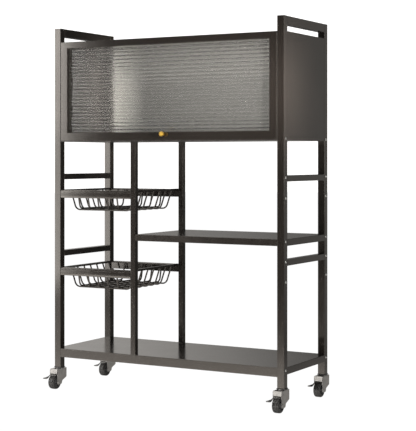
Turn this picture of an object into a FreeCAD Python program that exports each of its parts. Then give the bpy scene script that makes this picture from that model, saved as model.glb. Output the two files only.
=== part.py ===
"""Kitchen storage stand on four braked swivel casters.

A steel frame of square tube carries, from the top down: two side handrails,
a cabinet with a top-hinged reeded door, a middle shelf for a microwave on the
right, two pull-out wire baskets on the left, and a full-width bottom shelf.

Millimetres. +Z up, the floor is Z = 0, +X to the right seen from the front,
the front faces -Y. The origin is the middle of the bounding box on the floor.
"""
import FreeCAD, Part
import os
import sys
import math
import Sketcher

V = FreeCAD.Vector
doc = FreeCAD.newDocument("kitchen_stand")

# ---------------------------------------------------------------- dimensions
SIZES = [
    # frame
    ("frame_width", 900), ("frame_depth", 340), ("post_side", 25), ("tube_wall", 1.2),
    ("caster_height", 75), ("post_length", 1194), ("post_corner", 1.1),
    ("shift_x", 6), ("shift_y", 21.5),
    ("top_rail_height", 28), ("side_rail_height", 20),
    ("upper_rail_level", 736.5), ("lower_rail_level", 466),
    ("mid_post_side", 19), ("mid_post_left", -132.2),
    # shelves
    ("sheet", 1.2), ("shelf_edge_round", 1.4),
    ("bottom_shelf_level", 140.75), ("bottom_front_skirt", 30), ("bottom_side_skirt", 23),
    ("middle_shelf_level", 552.1), ("middle_skirt", 22),
    # cabinet
    ("cabinet_bottom", 870), ("cabinet_top_level", 1219.6), ("cabinet_skirt", 20),
    # door
    ("door_gap", 1.1), ("door_depth", 15), ("stile_width", 27.5), ("door_top_rail", 22.5),
    ("door_bottom_rail", 28.2), ("door_lift", 2.2), ("door_hem", 4), ("door_lap", 9), ("panel_base", 3),
    ("rib_height", 1.1), ("rib_count", 25), ("rib_flat", 0.5), ("seal_thick", 0.6),
    ("pivot_back", 7.5), ("pivot_drop", 8), ("pivot_pin_radius", 3), ("pivot_play", 0.06),
    ("pivot_bush_radius", 4.5), ("pivot_pin_length", 24),
    ("knob_radius", 8.9), ("knob_level", 893.0), ("knob_reach", 13.5), ("knob_neck", 3.7),
    ("knob_foot", 5.8), ("knob_foot_thick", 1.6), ("knob_bore", 5),
    ("knob_screw_radius", 1.5), ("knob_screw_head", 2.8),
    # baskets
    ("basket_lower_rim", 425.6), ("basket_upper_rim", 698.1),
    ("rim_thick", 5), ("rim_proud", 2), ("rim_width", 10), ("rim_gap", 1.5), ("wire_radius", 2.75),
    ("basket_drop", 66), ("side_inset", 23), ("end_inset", 14), ("side_bend", 22), ("end_bend", 18),
    ("wire_pitch", 40), ("cross_wires", 7), ("long_wires", 5), ("weld_bite", 0.5),
    ("front_bar_height", 20.3), ("front_bar_thick", 6), ("front_lip_height", 5.7), ("front_lip_back", 2),
    ("runner_height", 7.6), ("runner_depth", 6.5), ("runner_wall", 1),
    ("back_rail_height", 28), ("back_rail_depth", 15), ("back_rail_front", 150),
    # bolts
    ("bolt_radius", 3), ("bolt_head_radius", 4.8), ("bolt_head_height", 2.8),
    ("long_bolt", 30), ("short_bolt", 16),
    ("screw_radius", 2.4), ("screw_head_radius", 4.2), ("screw_head_height", 1.6), ("screw_length", 14),
    # casters
    ("wheel_radius", 25), ("wheel_width", 23), ("caster_trail", 30), ("hub_radius", 17.5),
    ("axle_radius", 3), ("axle_play", 0.06), ("hub_half", 13.3),
    ("fork_inner", 14.1), ("fork_sheet", 2), ("fork_top", 70.3), ("fork_rear", 19), ("fork_front", 36),
    ("fork_hood", 54.6), ("fork_plate", 2.5),
    ("stem_radius", 5), ("race_radius", 16), ("race_bottom", 70.6), ("race_thick", 1.9),
    ("plug_side", 30), ("plug_flange", 2.5), ("plug_height", 24),
    ("pedal_pin_radius", 2), ("pedal_pin_back", 26), ("pedal_pin_level", 58.5),
    ("pedal_half", 13.6), ("pedal_arm", 12.0), ("pedal_wing", 29), ("pedal_front", 62), ("pedal_sheet", 2.2),
]
# bolt levels above the floor, from the bottom up
LEVELS = [("level_bottom_shelf", 132), ("level_basket_lower", 414.6), ("level_rail_lower", 479),
          ("level_middle_shelf", 544), ("level_basket_upper", 683.1), ("level_rail_upper", 749.5),
          ("level_cabinet", 875)]

sheet = doc.addObject("Spreadsheet::Sheet", "Sizes")
for row, (alias, value) in enumerate(SIZES + LEVELS, start=1):
    sheet.set("A%d" % row, alias)
    sheet.set("B%d" % row, str(value))
    sheet.setAlias("B%d" % row, alias)
doc.recompute()
NUMBERS = dict(SIZES + LEVELS)


class Dim:
    """A size as a number together with the sheet expression it comes from."""

    def __init__(self, value, text):
        self.value, self.text = float(value), text

    def __add__(self, other):
        other = dim(other)
        return Dim(self.value + other.value, "(%s + %s)" % (self.text, other.text))

    def __radd__(self, other):
        return dim(other) + self

    def __sub__(self, other):
        other = dim(other)
        return Dim(self.value - other.value, "(%s - %s)" % (self.text, other.text))

    def __rsub__(self, other):
        return dim(other) - self

    def __mul__(self, other):
        other = dim(other)
        return Dim(self.value * other.value, "(%s * %s)" % (self.text, other.text))

    def __rmul__(self, other):
        return dim(other) * self

    def __truediv__(self, other):
        other = dim(other)
        return Dim(self.value / other.value, "(%s / %s)" % (self.text, other.text))

    def __neg__(self):
        return Dim(-self.value, "(-1 * %s)" % self.text)


def dim(x):
    return x if isinstance(x, Dim) else Dim(x, repr(float(x)))


def size(alias):
    return Dim(NUMBERS[alias], "Sizes.%s" % alias)


def bind(obj, prop, d):
    obj.setExpression(prop, dim(d).text)


def place(obj, x, y, z):
    """Stand a piece at x, y, z of the frame, counted from the middle of the footprint."""
    x, y, z = dim(x) + size("shift_x"), dim(y) + size("shift_y"), dim(z)
    obj.Placement = FreeCAD.Placement(V(x.value, y.value, z.value), FreeCAD.Rotation())
    for axis, d in (("x", x), ("y", y), ("z", z)):
        obj.setExpression("Placement.Base.%s" % axis, d.text)


# ------------------------------------------------------------- sketch helpers
PIECES = []


def new_body(label):
    body = doc.addObject("PartDesign::Body", label)
    body.Label = label
    PIECES.append(body)
    return body


def new_sketch(body, role, offset=None):
    sk = body.newObject("Sketcher::SketchObject", "Sketch")
    base = [f for f in body.Origin.OriginFeatures if f.Role == role][0]
    sk.AttachmentSupport = [(base, "")]
    sk.MapMode = "FlatFace"
    if offset is not None:
        offset = dim(offset)
        sk.AttachmentOffset = FreeCAD.Placement(V(0, 0, offset.value), FreeCAD.Rotation())
        sk.setExpression("AttachmentOffset.Base.z", offset.text)
    return sk


def pin(sk, geo, end, x, y):
    """Dimension one point of the sketch from its origin."""
    for kind, axis, d in (("DistanceX", -2, dim(x)), ("DistanceY", -1, dim(y))):
        if abs(d.value) < 1e-9:
            sk.addConstraint(Sketcher.Constraint("PointOnObject", geo, end, axis))
        else:
            c = sk.addConstraint(Sketcher.Constraint(kind, -1, 1, geo, end, d.value))
            sk.setExpression("Constraints[%d]" % c, d.text)


def polygon(sk, points):
    points = [(dim(x), dim(y)) for x, y in points]
    first = sk.GeometryCount
    n = len(points)
    for i, (x, y) in enumerate(points):
        nx, ny = points[(i + 1) % n]
        sk.addGeometry(Part.LineSegment(V(x.value, y.value, 0), V(nx.value, ny.value, 0)), False)
    for i in range(n):
        sk.addConstraint(Sketcher.Constraint("Coincident", first + i, 2, first + (i + 1) % n, 1))
    for i, (x, y) in enumerate(points):
        pin(sk, first + i, 1, x, y)


def rectangle(sk, x0, y0, x1, y1):
    polygon(sk, [(x0, y0), (x1, y0), (x1, y1), (x0, y1)])


def circle(sk, x, y, radius):
    radius = dim(radius)
    x, y = dim(x), dim(y)
    g = sk.addGeometry(Part.Circle(V(x.value, y.value, 0), V(0, 0, 1), radius.value), False)
    pin(sk, g, 3, x, y)
    c = sk.addConstraint(Sketcher.Constraint("Radius", g, radius.value))
    sk.setExpression("Constraints[%d]" % c, radius.text)


def pad(body, sk, length, back=False, middle=False):
    f = body.newObject("PartDesign::Pad", "Pad")
    f.Profile = sk
    f.Length = dim(length).value
    bind(f, "Length", length)
    f.Reversed = back
    if middle:
        f.SideType = "Symmetric"
    sk.Visibility = False
    return f


def pocket(body, sk, length, back=False, middle=False, through=False):
    """Cut a pocket, and make sure that it took something away."""
    doc.recompute()
    before = body.Shape.Volume
    f = body.newObject("PartDesign::Pocket", "Pocket")
    f.Profile = sk
    f.Length = dim(length).value
    bind(f, "Length", length)
    f.Reversed = back
    if middle:
        f.SideType = "Symmetric"
    if through:
        f.Type = "ThroughAll"
    doc.recompute()
    if not body.Shape.Volume < before - 1e-3:
        raise RuntimeError("%s: a pocket cut nothing" % body.Label)
    return f


def revolve(body, sk, axis, groove=False):
    f = body.newObject("PartDesign::Groove" if groove else "PartDesign::Revolution", "Turned")
    f.Profile = sk
    f.ReferenceAxis = (sk, [axis])
    f.Angle = 360
    return f


def edges_where(shape, test):
    return ["Edge%d" % (i + 1) for i, e in enumerate(shape.Edges) if test(e)]


def upright(e):
    a, b = e.Vertexes[0].Point, e.Vertexes[-1].Point
    return abs(a.x - b.x) < 1e-6 and abs(a.y - b.y) < 1e-6 and abs(a.z - b.z) > 1e-6


def fillet(body, test, radius, kind="PartDesign::Fillet"):
    doc.recompute()
    base = body.Tip
    names = edges_where(base.Shape, test)
    if not names:
        raise RuntimeError("%s: no edge to round" % body.Label)
    f = body.newObject(kind, "Round")
    f.Base = (base, names)
    if kind.endswith("Fillet"):
        f.Radius = dim(radius).value
        bind(f, "Radius", radius)
    else:
        f.Size = dim(radius).value
        bind(f, "Size", radius)
    doc.recompute()
    return f


def pattern(body, feature, axis_role, length, count):
    f = body.newObject("PartDesign::LinearPattern", "Row")
    f.Originals = [feature]
    axis = [o for o in body.Origin.OriginFeatures if o.Role == axis_role][0]
    f.Direction = (axis, [""])
    f.Length = dim(length).value
    bind(f, "Length", length)
    f.Occurrences = int(dim(count).value)
    bind(f, "Occurrences", count)
    body.Tip = f
    return f


# common expressions
HALF_W = size("frame_width") / 2
HALF_D = size("frame_depth") / 2
POST = size("post_side")
WALL = size("tube_wall")
SHEET = size("sheet")
POST_FOOT = size("caster_height")
TOP = POST_FOOT + size("post_length")
INNER_X = HALF_W - POST          # inner face of the posts
INNER_Y = HALF_D - POST
MID_L = size("mid_post_left")
MID_R = MID_L + size("mid_post_side")


def tube_upright(label, side, length, x, y, z, corner):
    body = new_body(label)
    sk = new_sketch(body, "XY_Plane")
    rectangle(sk, 0, 0, side, side)
    rectangle(sk, WALL, WALL, side - WALL, side - WALL)
    pad(body, sk, length)
    s = dim(side).value

    def outer(e):
        p = e.Vertexes[0].Point
        return upright(e) and min(abs(p.x), abs(p.x - s)) < 1e-6 and min(abs(p.y), abs(p.y - s)) < 1e-6

    fillet(body, outer, corner)
    place(body, x, y, z)
    return body


def tube_along_y(label, width, height, length, x, y, z):
    """Front-to-back tube. y is its rear end."""
    body = new_body(label)
    sk = new_sketch(body, "XZ_Plane")
    rectangle(sk, 0, 0, width, height)
    rectangle(sk, WALL, WALL, width - WALL, height - WALL)
    pad(body, sk, length)
    w, h = dim(width).value, dim(height).value

    def outer(e):
        a, b = e.Vertexes[0].Point, e.Vertexes[-1].Point
        return abs(a.y - b.y) > 1 and min(abs(a.x), abs(a.x - w)) < 1e-6 and min(abs(a.z), abs(a.z - h)) < 1e-6

    fillet(body, outer, size("post_corner"))
    place(body, x, y, z)
    return body


# ------------------------------------------------------------------- posts
THROUGH = {"left": ["level_bottom_shelf", "level_basket_lower", "level_basket_upper"],
           "right": ["level_bottom_shelf", "level_middle_shelf"]}
SHORT = {"left": ["level_rail_lower", "level_middle_shelf", "level_rail_upper", "level_cabinet"],
         "right": ["level_basket_lower", "level_rail_lower", "level_basket_upper", "level_rail_upper", "level_cabinet"]}
CORNERS = [("front_left", -HALF_W, -HALF_D, "left"), ("front_right", INNER_X, -HALF_D, "right"),
           ("rear_left", -HALF_W, INNER_Y, "left"), ("rear_right", INNER_X, INNER_Y, "right")]

for corner, x, y, side in CORNERS:
    post = tube_upright("post_" + corner, POST, size("post_length"), x, y, POST_FOOT, size("post_corner"))
    # bolt holes through both walls where a shelf, runner or the cabinet is held
    sk = new_sketch(post, "YZ_Plane")
    for level in THROUGH[side]:
        circle(sk, POST / 2, size(level) - POST_FOOT, size("bolt_radius"))
    pocket(post, sk, POST * 2.5, middle=True)
    # and through the outer wall only elsewhere
    at = dim(0) if side == "left" else POST
    sk = new_sketch(post, "YZ_Plane", at)
    for level in SHORT[side]:
        circle(sk, POST / 2, size(level) - POST_FOOT, size("bolt_radius"))
    pocket(post, sk, WALL * 4, middle=True)
    if corner.startswith("front"):
        # seat of the door's pivot pin in the inner wall
        inner = POST if side == "left" else dim(0)
        sk = new_sketch(post, "YZ_Plane", inner)
        circle(sk, size("pivot_back"), size("cabinet_top_level") - size("pivot_drop") - POST_FOOT, size("pivot_pin_radius"))
        pocket(post, sk, WALL * 4, middle=True)

for side, x in (("left", -HALF_W), ("right", INNER_X)):
    tube_along_y("top_rail_" + side, POST, size("top_rail_height"), INNER_Y * 2, x, INNER_Y, TOP - size("top_rail_height"))
    tube_along_y("side_rail_upper_" + side, POST, size("side_rail_height"), INNER_Y * 2, x, INNER_Y, size("upper_rail_level"))
    tube_along_y("side_rail_lower_" + side, POST, size("side_rail_height"), INNER_Y * 2, x, INNER_Y, size("lower_rail_level"))

# middle posts between the bottom shelf and the cabinet
MID_LENGTH = size("cabinet_bottom") - size("bottom_shelf_level")
for end, y in (("front", -HALF_D), ("rear", HALF_D - size("mid_post_side"))):
    tube_upright("mid_post_" + end, size("mid_post_side"), MID_LENGTH, MID_L, y, size("bottom_shelf_level"), size("post_corner"))


# ------------------------------------------------------------- folded trays
def outline(x0, x1, y0, y1, notch, corners):
    """Rectangle with square notches of side notch at the named corners, anticlockwise."""
    pts = []
    pts += [(x0, y0 + notch), (x0 + notch, y0 + notch), (x0 + notch, y0)] if "fl" in corners else [(x0, y0)]
    pts += [(x1 - notch, y0), (x1 - notch, y0 + notch), (x1, y0 + notch)] if "fr" in corners else [(x1, y0)]
    pts += [(x1, y1 - notch), (x1 - notch, y1 - notch), (x1 - notch, y1)] if "rr" in corners else [(x1, y1)]
    pts += [(x0 + notch, y1), (x0 + notch, y1 - notch), (x0, y1 - notch)] if "rl" in corners else [(x0, y1)]
    return pts


def tray(label, x0, x1, y0, y1, corners, skirt, level, up=False):
    """Sheet with a skirt all round. level is the top face, or the underside when the skirt stands up."""
    x0, x1, y0, y1 = dim(x0), dim(x1), dim(y0), dim(y1)
    body = new_body(label)
    sk = new_sketch(body, "XY_Plane")
    polygon(sk, outline(x0, x1, y0, y1, POST, corners))
    pad(body, sk, SHEET, back=not up)
    sk = new_sketch(body, "XY_Plane")
    polygon(sk, outline(x0, x1, y0, y1, POST, corners))
    polygon(sk, outline(x0 + SHEET, x1 - SHEET, y0 + SHEET, y1 - SHEET, POST, corners))
    pad(body, sk, skirt, back=not up)
    place(body, 0, 0, level)
    return body


def round_rim(body, x0, x1, y0, y1, radius):
    """Bend radius along the straight outer edges of a tray's face."""
    x0, x1, y0, y1 = (dim(v).value for v in (x0, x1, y0, y1))

    def rim(e):
        a, b = e.Vertexes[0].Point, e.Vertexes[-1].Point
        if abs(a.z) > 1e-6 or abs(b.z) > 1e-6:
            return False
        on_x = abs(a.x - b.x) < 1e-6 and min(abs(a.x - x0), abs(a.x - x1)) < 1e-6
        on_y = abs(a.y - b.y) < 1e-6 and min(abs(a.y - y0), abs(a.y - y1)) < 1e-6
        return on_x or on_y

    fillet(body, rim, radius)


bottom = tray("bottom_shelf", -HALF_W, HALF_W, -HALF_D, HALF_D, ("fl", "fr", "rl", "rr"),
              size("bottom_front_skirt"), size("bottom_shelf_level"))
# the side skirts are shallower than the front and rear ones
sk = new_sketch(bottom, "XY_Plane", -size("bottom_side_skirt"))
for s in (-1, 1):
    rectangle(sk, s * INNER_X + s * 2, -INNER_Y - 0.0, s * (HALF_W + 5), INNER_Y + 0.0)
pocket(bottom, sk, 20)
round_rim(bottom, -HALF_W, HALF_W, -HALF_D, HALF_D, size("shelf_edge_round"))
BOLT_Y = INNER_Y + POST / 2
SCREW_X = MID_L + size("mid_post_side") / 2
SCREW_Y = HALF_D - size("mid_post_side") / 2
for s in (-1, 1):
    sk = new_sketch(bottom, "YZ_Plane", s * INNER_X)
    for e in (-1, 1):
        circle(sk, e * BOLT_Y, size("level_bottom_shelf") - size("bottom_shelf_level"), size("bolt_radius"))
    pocket(bottom, sk, 10, middle=True)
sk = new_sketch(bottom, "XY_Plane")
for e in (-1, 1):
    circle(sk, SCREW_X, e * SCREW_Y, size("screw_radius"))
pocket(bottom, sk, 10, middle=True)

middle = tray("middle_shelf", MID_R, HALF_W, -HALF_D, HALF_D, ("fr", "rr"), size("middle_skirt"), size("middle_shelf_level"))
round_rim(middle, MID_R, HALF_W, -HALF_D, HALF_D, size("shelf_edge_round"))
sk = new_sketch(middle, "YZ_Plane", INNER_X)
for e in (-1, 1):
    circle(sk, e * BOLT_Y, size("level_middle_shelf") - size("middle_shelf_level"), size("bolt_radius"))
pocket(middle, sk, 10, middle=True)

# ------------------------------------------------------------------ cabinet
LAP = HALF_W - SHEET
cab_top = tray("cabinet_top", -LAP, LAP, -INNER_Y, HALF_D - SHEET, (), size("cabinet_skirt"), size("cabinet_top_level"))
# the floor is a plain sheet; upstands are welded along its sides and its back
cab_floor = new_body("cabinet_floor")
sk = new_sketch(cab_floor, "XY_Plane")
rectangle(sk, -LAP, -INNER_Y, LAP, HALF_D - SHEET)
pad(cab_floor, sk, SHEET)
place(cab_floor, 0, 0, size("cabinet_bottom"))
for body in (cab_top, cab_floor):
    # the rear corners are cut away around the posts
    sk = new_sketch(body, "XY_Plane")
    for s in (-1, 1):
        rectangle(sk, s * INNER_X, INNER_Y, s * (HALF_W + 5), HALF_D + 5)
    pocket(body, sk, 100, middle=True)

# no upstand at the front, where things slide in; the sheet runs on to the front under the door
sk = new_sketch(cab_floor, "XY_Plane")
rectangle(sk, -INNER_X, -HALF_D + 1, INNER_X, -INNER_Y + 0.6)
pad(cab_floor, sk, SHEET)
doc.recompute()
sk = new_sketch(cab_floor, "XY_Plane")
circle(sk, SCREW_X, SCREW_Y, size("screw_radius"))
pocket(cab_floor, sk, 10, middle=True)

side_lip = new_body("side_lip")
sk = new_sketch(side_lip, "XY_Plane")
rectangle(sk, 0, -INNER_Y, SHEET, INNER_Y)
pad(side_lip, sk, size("cabinet_skirt") - SHEET)
rear_lip = new_body("rear_lip")
sk = new_sketch(rear_lip, "XY_Plane")
rectangle(sk, -INNER_X, -SHEET, INNER_X, 0)
pad(rear_lip, sk, size("cabinet_skirt") - SHEET)
doc.recompute()
lips = doc.addObject("Part::Feature", "cabinet_floor_lips")
lips.Label = "cabinet_floor_lips"
strips = []
for strip, x, y in ((side_lip, -LAP, dim(0)), (side_lip, LAP - SHEET, dim(0)), (rear_lip, dim(0), HALF_D - SHEET)):
    piece = strip.Shape.copy()
    piece.translate(V(x.value, y.value, (size("cabinet_bottom") + SHEET).value))
    strips += piece.Solids
lips.Shape = Part.makeCompound(strips)
lips.Placement = FreeCAD.Placement(V(NUMBERS["shift_x"], NUMBERS["shift_y"], 0), FreeCAD.Rotation())
PIECES.remove(side_lip)
PIECES.remove(rear_lip)
PIECES.append(lips)

CAB_HEIGHT = size("cabinet_top_level") - size("cabinet_bottom")
for side, x in (("left", -HALF_W), ("right", HALF_W - SHEET)):
    body = new_body("cabinet_side_" + side)
    sk = new_sketch(body, "YZ_Plane")
    rectangle(sk, -INNER_Y, 0, INNER_Y, CAB_HEIGHT)
    pad(body, sk, SHEET)
    place(body, x, 0, size("cabinet_bottom"))

body = new_body("cabinet_back")
sk = new_sketch(body, "XZ_Plane")
rectangle(sk, -INNER_X, 0, INNER_X, CAB_HEIGHT)
pad(body, sk, SHEET)
place(body, 0, HALF_D, size("cabinet_bottom"))

# --------------------------------------------------------------------- door
# The door turns about a pin on each side near its top edge.
D_X = INNER_X - size("door_gap")
OPEN_X = D_X - size("stile_width")
DOOR_HEIGHT = CAB_HEIGHT - size("door_lift")
DOOR_Z = size("cabinet_bottom") + size("door_lift")
OPEN_LO, OPEN_HI = size("door_bottom_rail"), DOOR_HEIGHT - size("door_top_rail")
DOOR_FACE = -HALF_D

door = new_body("door_frame")
sk = new_sketch(door, "XZ_Plane")
rectangle(sk, -D_X, 0, D_X, DOOR_HEIGHT)
rectangle(sk, -OPEN_X, OPEN_LO, OPEN_X, OPEN_HI)
pad(door, sk, size("door_depth"), back=True)
# hollow from behind: folded skin with a hemmed inner edge
sk = new_sketch(door, "XZ_Plane", -size("door_depth"))
rectangle(sk, -D_X + SHEET, SHEET, D_X - SHEET, DOOR_HEIGHT - SHEET)
HEM = size("door_hem")
rectangle(sk, -OPEN_X - HEM, OPEN_LO - HEM, OPEN_X + HEM, OPEN_HI + HEM)
pocket(door, sk, size("door_depth") - SHEET, back=True)
PIVOT_Z = DOOR_HEIGHT - size("pivot_drop")
sk = new_sketch(door, "YZ_Plane")
circle(sk, size("pivot_back"), PIVOT_Z, size("pivot_bush_radius"))
# only the outer walls are bored for the bushes
pocket(door, sk, 2000, middle=True)
sk = new_sketch(door, "XZ_Plane")
circle(sk, 0, size("knob_level") - DOOR_Z, size("knob_screw_radius"))
pocket(door, sk, SHEET * 3, middle=True)


def front_rim(e):
    a, b = e.Vertexes[0].Point, e.Vertexes[-1].Point
    return len(e.Vertexes) == 2 and abs(a.y) < 1e-6 and abs(b.y) < 1e-6 and (a - b).Length > 50


fillet(door, front_rim, 1.0)
place(door, 0, DOOR_FACE, DOOR_Z)

# seal between the door's hem and the panel
PAN_X, PAN_LO, PAN_HI = OPEN_X + size("door_lap"), OPEN_LO - size("door_lap"), OPEN_HI + size("door_lap")
seal = new_body("door_seal")
sk = new_sketch(seal, "XZ_Plane")
rectangle(sk, -OPEN_X - HEM, OPEN_LO - HEM, OPEN_X + HEM, OPEN_HI + HEM)
rectangle(sk, -OPEN_X, OPEN_LO, OPEN_X, OPEN_HI)
pad(seal, sk, size("seal_thick"), back=True)
place(seal, 0, DOOR_FACE + size("door_depth"), DOOR_Z)

# reeded panel: a flat sheet with level half-round ribs on its front, inside the opening
panel = new_body("door_panel")
sk = new_sketch(panel, "XZ_Plane")
rectangle(sk, -PAN_X, PAN_LO, PAN_X, PAN_HI)
pad(panel, sk, size("panel_base"), back=True)
PITCH = (OPEN_HI - OPEN_LO) / size("rib_count")
half = PITCH / 2 - size("rib_flat") / 2
rise = size("rib_height")
sk = new_sketch(panel, "YZ_Plane")
zc = OPEN_LO + PITCH / 2
# one rib: an arc bulging to the front on a chord buried in the sheet
p0 = V(0.2, (zc - half).value, 0)
p1 = V(-rise.value, zc.value, 0)
p2 = V(0.2, (zc + half).value, 0)
sk.addGeometry(Part.Arc(p2, p1, p0), False)
sk.addGeometry(Part.LineSegment(p0, p2), False)
sk.addConstraint(Sketcher.Constraint("Coincident", 0, 2, 1, 1))
sk.addConstraint(Sketcher.Constraint("Coincident", 1, 2, 0, 1))
pin(sk, 1, 1, 0.2, zc - half)
pin(sk, 1, 2, 0.2, zc + half)
rib_r = (half * half + (rise + 0.2) * (rise + 0.2)) / ((rise + 0.2) * 2)
c = sk.addConstraint(Sketcher.Constraint("Radius", 0, rib_r.value))
sk.setExpression("Constraints[%d]" % c, rib_r.text)
rib = pad(panel, sk, OPEN_X * 2 - 0.6, middle=True)
pattern(panel, rib, "Z_Axis", PITCH * (size("rib_count") - 1), size("rib_count"))
place(panel, 0, DOOR_FACE + size("door_depth") + size("seal_thick"), DOOR_Z)

# ball knob: a ball on a neck with a round foot, bored for its screw
TO_FRONT = FreeCAD.Rotation(V(1, 0, 0), 90)


def rod(name, radius, start, length):
    """Cylinder along -Y, starting at Y = start."""
    c = doc.addObject("Part::Cylinder", name)
    bind(c, "Radius", radius)
    bind(c, "Height", length)
    c.Placement = FreeCAD.Placement(V(0, dim(start).value, 0), TO_FRONT)
    bind(c, "Placement.Base.y", start)
    return c


ball = doc.addObject("Part::Sphere", "KnobBall")
bind(ball, "Radius", size("knob_radius"))
bind(ball, "Placement.Base.y", -size("knob_reach"))
neck = rod("KnobNeck", size("knob_neck"), dim(0), size("knob_reach"))
foot = rod("KnobFoot", size("knob_foot"), dim(0), size("knob_foot_thick"))
solid = doc.addObject("Part::MultiFuse", "KnobSolid")
solid.Shapes = [ball, neck, foot]
bore = rod("KnobBore", size("knob_screw_radius"), dim(1), size("knob_bore") + 1)
knob = doc.addObject("Part::Cut", "door_knob")
knob.Label = "door_knob"
knob.Base = solid
knob.Tool = bore
PIECES.append(knob)
place(knob, 0, DOOR_FACE, size("knob_level"))


def turned(label, along, profile):
    """Solid of revolution. profile is (distance along the axis, radius) pairs, the first and last on the axis."""
    body = new_body(label)
    if along == "X":
        sk = new_sketch(body, "XY_Plane")
        polygon(sk, [(a, r) for a, r in profile])
        revolve(body, sk, "H_Axis")
    elif along == "Z":
        sk = new_sketch(body, "XZ_Plane")
        polygon(sk, [(r, a) for a, r in profile])
        revolve(body, sk, "V_Axis")
    else:
        sk = new_sketch(body, "XY_Plane")
        polygon(sk, [(r, a) for a, r in profile])
        revolve(body, sk, "V_Axis")
    return body


# screw that holds the knob from behind: its head sits inside the folded frame
KS, KH = size("knob_screw_radius"), size("knob_screw_head")
knob_screw = turned("knob_screw", "Y", [(-4.9, 0), (-4.9, KS), (SHEET, KS),
                                        (SHEET, KH), (SHEET + size("screw_head_height"), KH),
                                        (SHEET + size("screw_head_height"), 0)])
place(knob_screw, 0, DOOR_FACE, size("knob_level"))


def group(label, base, spots):
    """One node of identical fasteners: copies of a base piece at each spot, left as separate solids."""
    doc.recompute()
    PIECES.remove(base)
    node = doc.addObject("Part::Feature", label)
    node.Label = label
    solids = []
    for (x, y, z), turn in spots:
        s = base.Shape.copy()
        s.Placement = FreeCAD.Placement(V(), FreeCAD.Rotation())
        s = s.copy()
        if turn is not None:
            s.rotate(V(0, 0, 0), V(*turn[0]), turn[1])
        s.translate(V(dim(x).value, dim(y).value, dim(z).value))
        solids += s.Solids
    node.Shape = Part.makeCompound(solids)
    node.Placement = FreeCAD.Placement(V(NUMBERS["shift_x"], NUMBERS["shift_y"], 0), FreeCAD.Rotation())
    PIECES.append(node)
    return node


PIVOT_Y = -HALF_D + size("pivot_back")
PIVOT_LEVEL = size("cabinet_top_level") - size("pivot_drop")
pin_r = size("pivot_pin_radius")
pin_len = size("pivot_pin_length")
# pivot pins pressed into the posts, each with a collar inside the tube wall
pivot = turned("pivot_pin", "X", [(-pin_len / 2, 0), (-pin_len / 2, pin_r), (pin_len / 2, pin_r), (pin_len / 2, 0)])
group("door_pivot_pins", pivot, [((s * INNER_X, PIVOT_Y, PIVOT_LEVEL), None) for s in (-1, 1)])
bush_r, play = size("pivot_bush_radius"), size("pivot_play")
bush = turned("pivot_bush", "X", [(-size("door_gap") * 0.0 - 10, pin_r + play), (-10, bush_r), (0, bush_r), (0, 6.5), (0.8, 6.5), (0.8, pin_r + play)])
group("door_pivot_bushes", bush, [((D_X, PIVOT_Y, PIVOT_LEVEL), None), ((-D_X, PIVOT_Y, PIVOT_LEVEL), ((0, 0, 1), 180))])

# ------------------------------------------------------------------- baskets
BASKET_L, BASKET_R = -INNER_X, MID_L                 # inner faces it runs between
BX = (BASKET_L + BASKET_R) / 2                       # middle of the basket
BW = (BASKET_R - BASKET_L) / 2
RIM_X = BW - size("rim_gap")                         # half width of the rim
RW = size("rim_width")
WIRE = size("wire_radius")
SIDE_TOP = RIM_X - 8.7                               # wires hang under the rim bar, clear of the runner
RIM_FRONT = -HALF_D + size("front_bar_thick")
RIM_BACK = dim(147)
DROP = size("basket_drop")


def wire_path(sk, lo, hi, inset, bend, depth):
    """A U of wire in the sketch: down one sloping wall, across the bottom and up the other."""
    lo, hi, inset, bend, depth = (dim(v) for v in (lo, hi, inset, bend, depth))
    slope = math.atan2(inset.value, depth.value)
    turn = "atan(%s / %s)" % (inset.text, depth.text)
    # tangent length of the bend, and its share along each axis of the sloping wall
    t = bend * Dim(math.tan((math.pi / 2 - slope) / 2), "tan((90 deg - %s) / 2)" % turn)
    tx = t * Dim(math.sin(slope), "sin(%s)" % turn)
    ty = t * Dim(math.cos(slope), "cos(%s)" % turn)
    corner_l, corner_r = lo + inset, hi - inset
    pts = [(lo, dim(0)), (corner_l - tx, -depth + ty), (corner_l + t, -depth), (corner_r - t, -depth),
           (corner_r + tx, -depth + ty), (hi, dim(0))]
    p = [V(x.value, y.value, 0) for x, y in pts]
    middles = []
    for flat, corner in ((p[2], corner_l), (p[3], corner_r)):
        centre = V(flat.x, flat.y + bend.value, 0)
        middles.append(centre + (V(corner.value, -depth.value, 0) - centre).normalize() * bend.value)
    first = sk.GeometryCount
    for piece in (Part.LineSegment(p[0], p[1]), Part.Arc(p[1], middles[0], p[2]), Part.LineSegment(p[2], p[3]),
                  Part.Arc(p[3], middles[1], p[4]), Part.LineSegment(p[4], p[5])):
        sk.addGeometry(piece, False)
    for line, (a, b) in ((first, (0, 1)), (first + 2, (2, 3)), (first + 4, (4, 5))):
        pin(sk, line, 1, *pts[a])
        pin(sk, line, 2, *pts[b])
    for arc_id, before_line, after_line in ((first + 1, first, first + 2), (first + 3, first + 2, first + 4)):
        a = sk.Geometry[arc_id]
        start_first = (a.StartPoint - sk.Geometry[before_line].EndPoint).Length < 1e-6
        sk.addConstraint(Sketcher.Constraint("Coincident", before_line, 2, arc_id, 1 if start_first else 2))
        sk.addConstraint(Sketcher.Constraint("Coincident", after_line, 1, arc_id, 2 if start_first else 1))
        c = sk.addConstraint(Sketcher.Constraint("Radius", arc_id, bend.value))
        sk.setExpression("Constraints[%d]" % c, bend.text)


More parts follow.
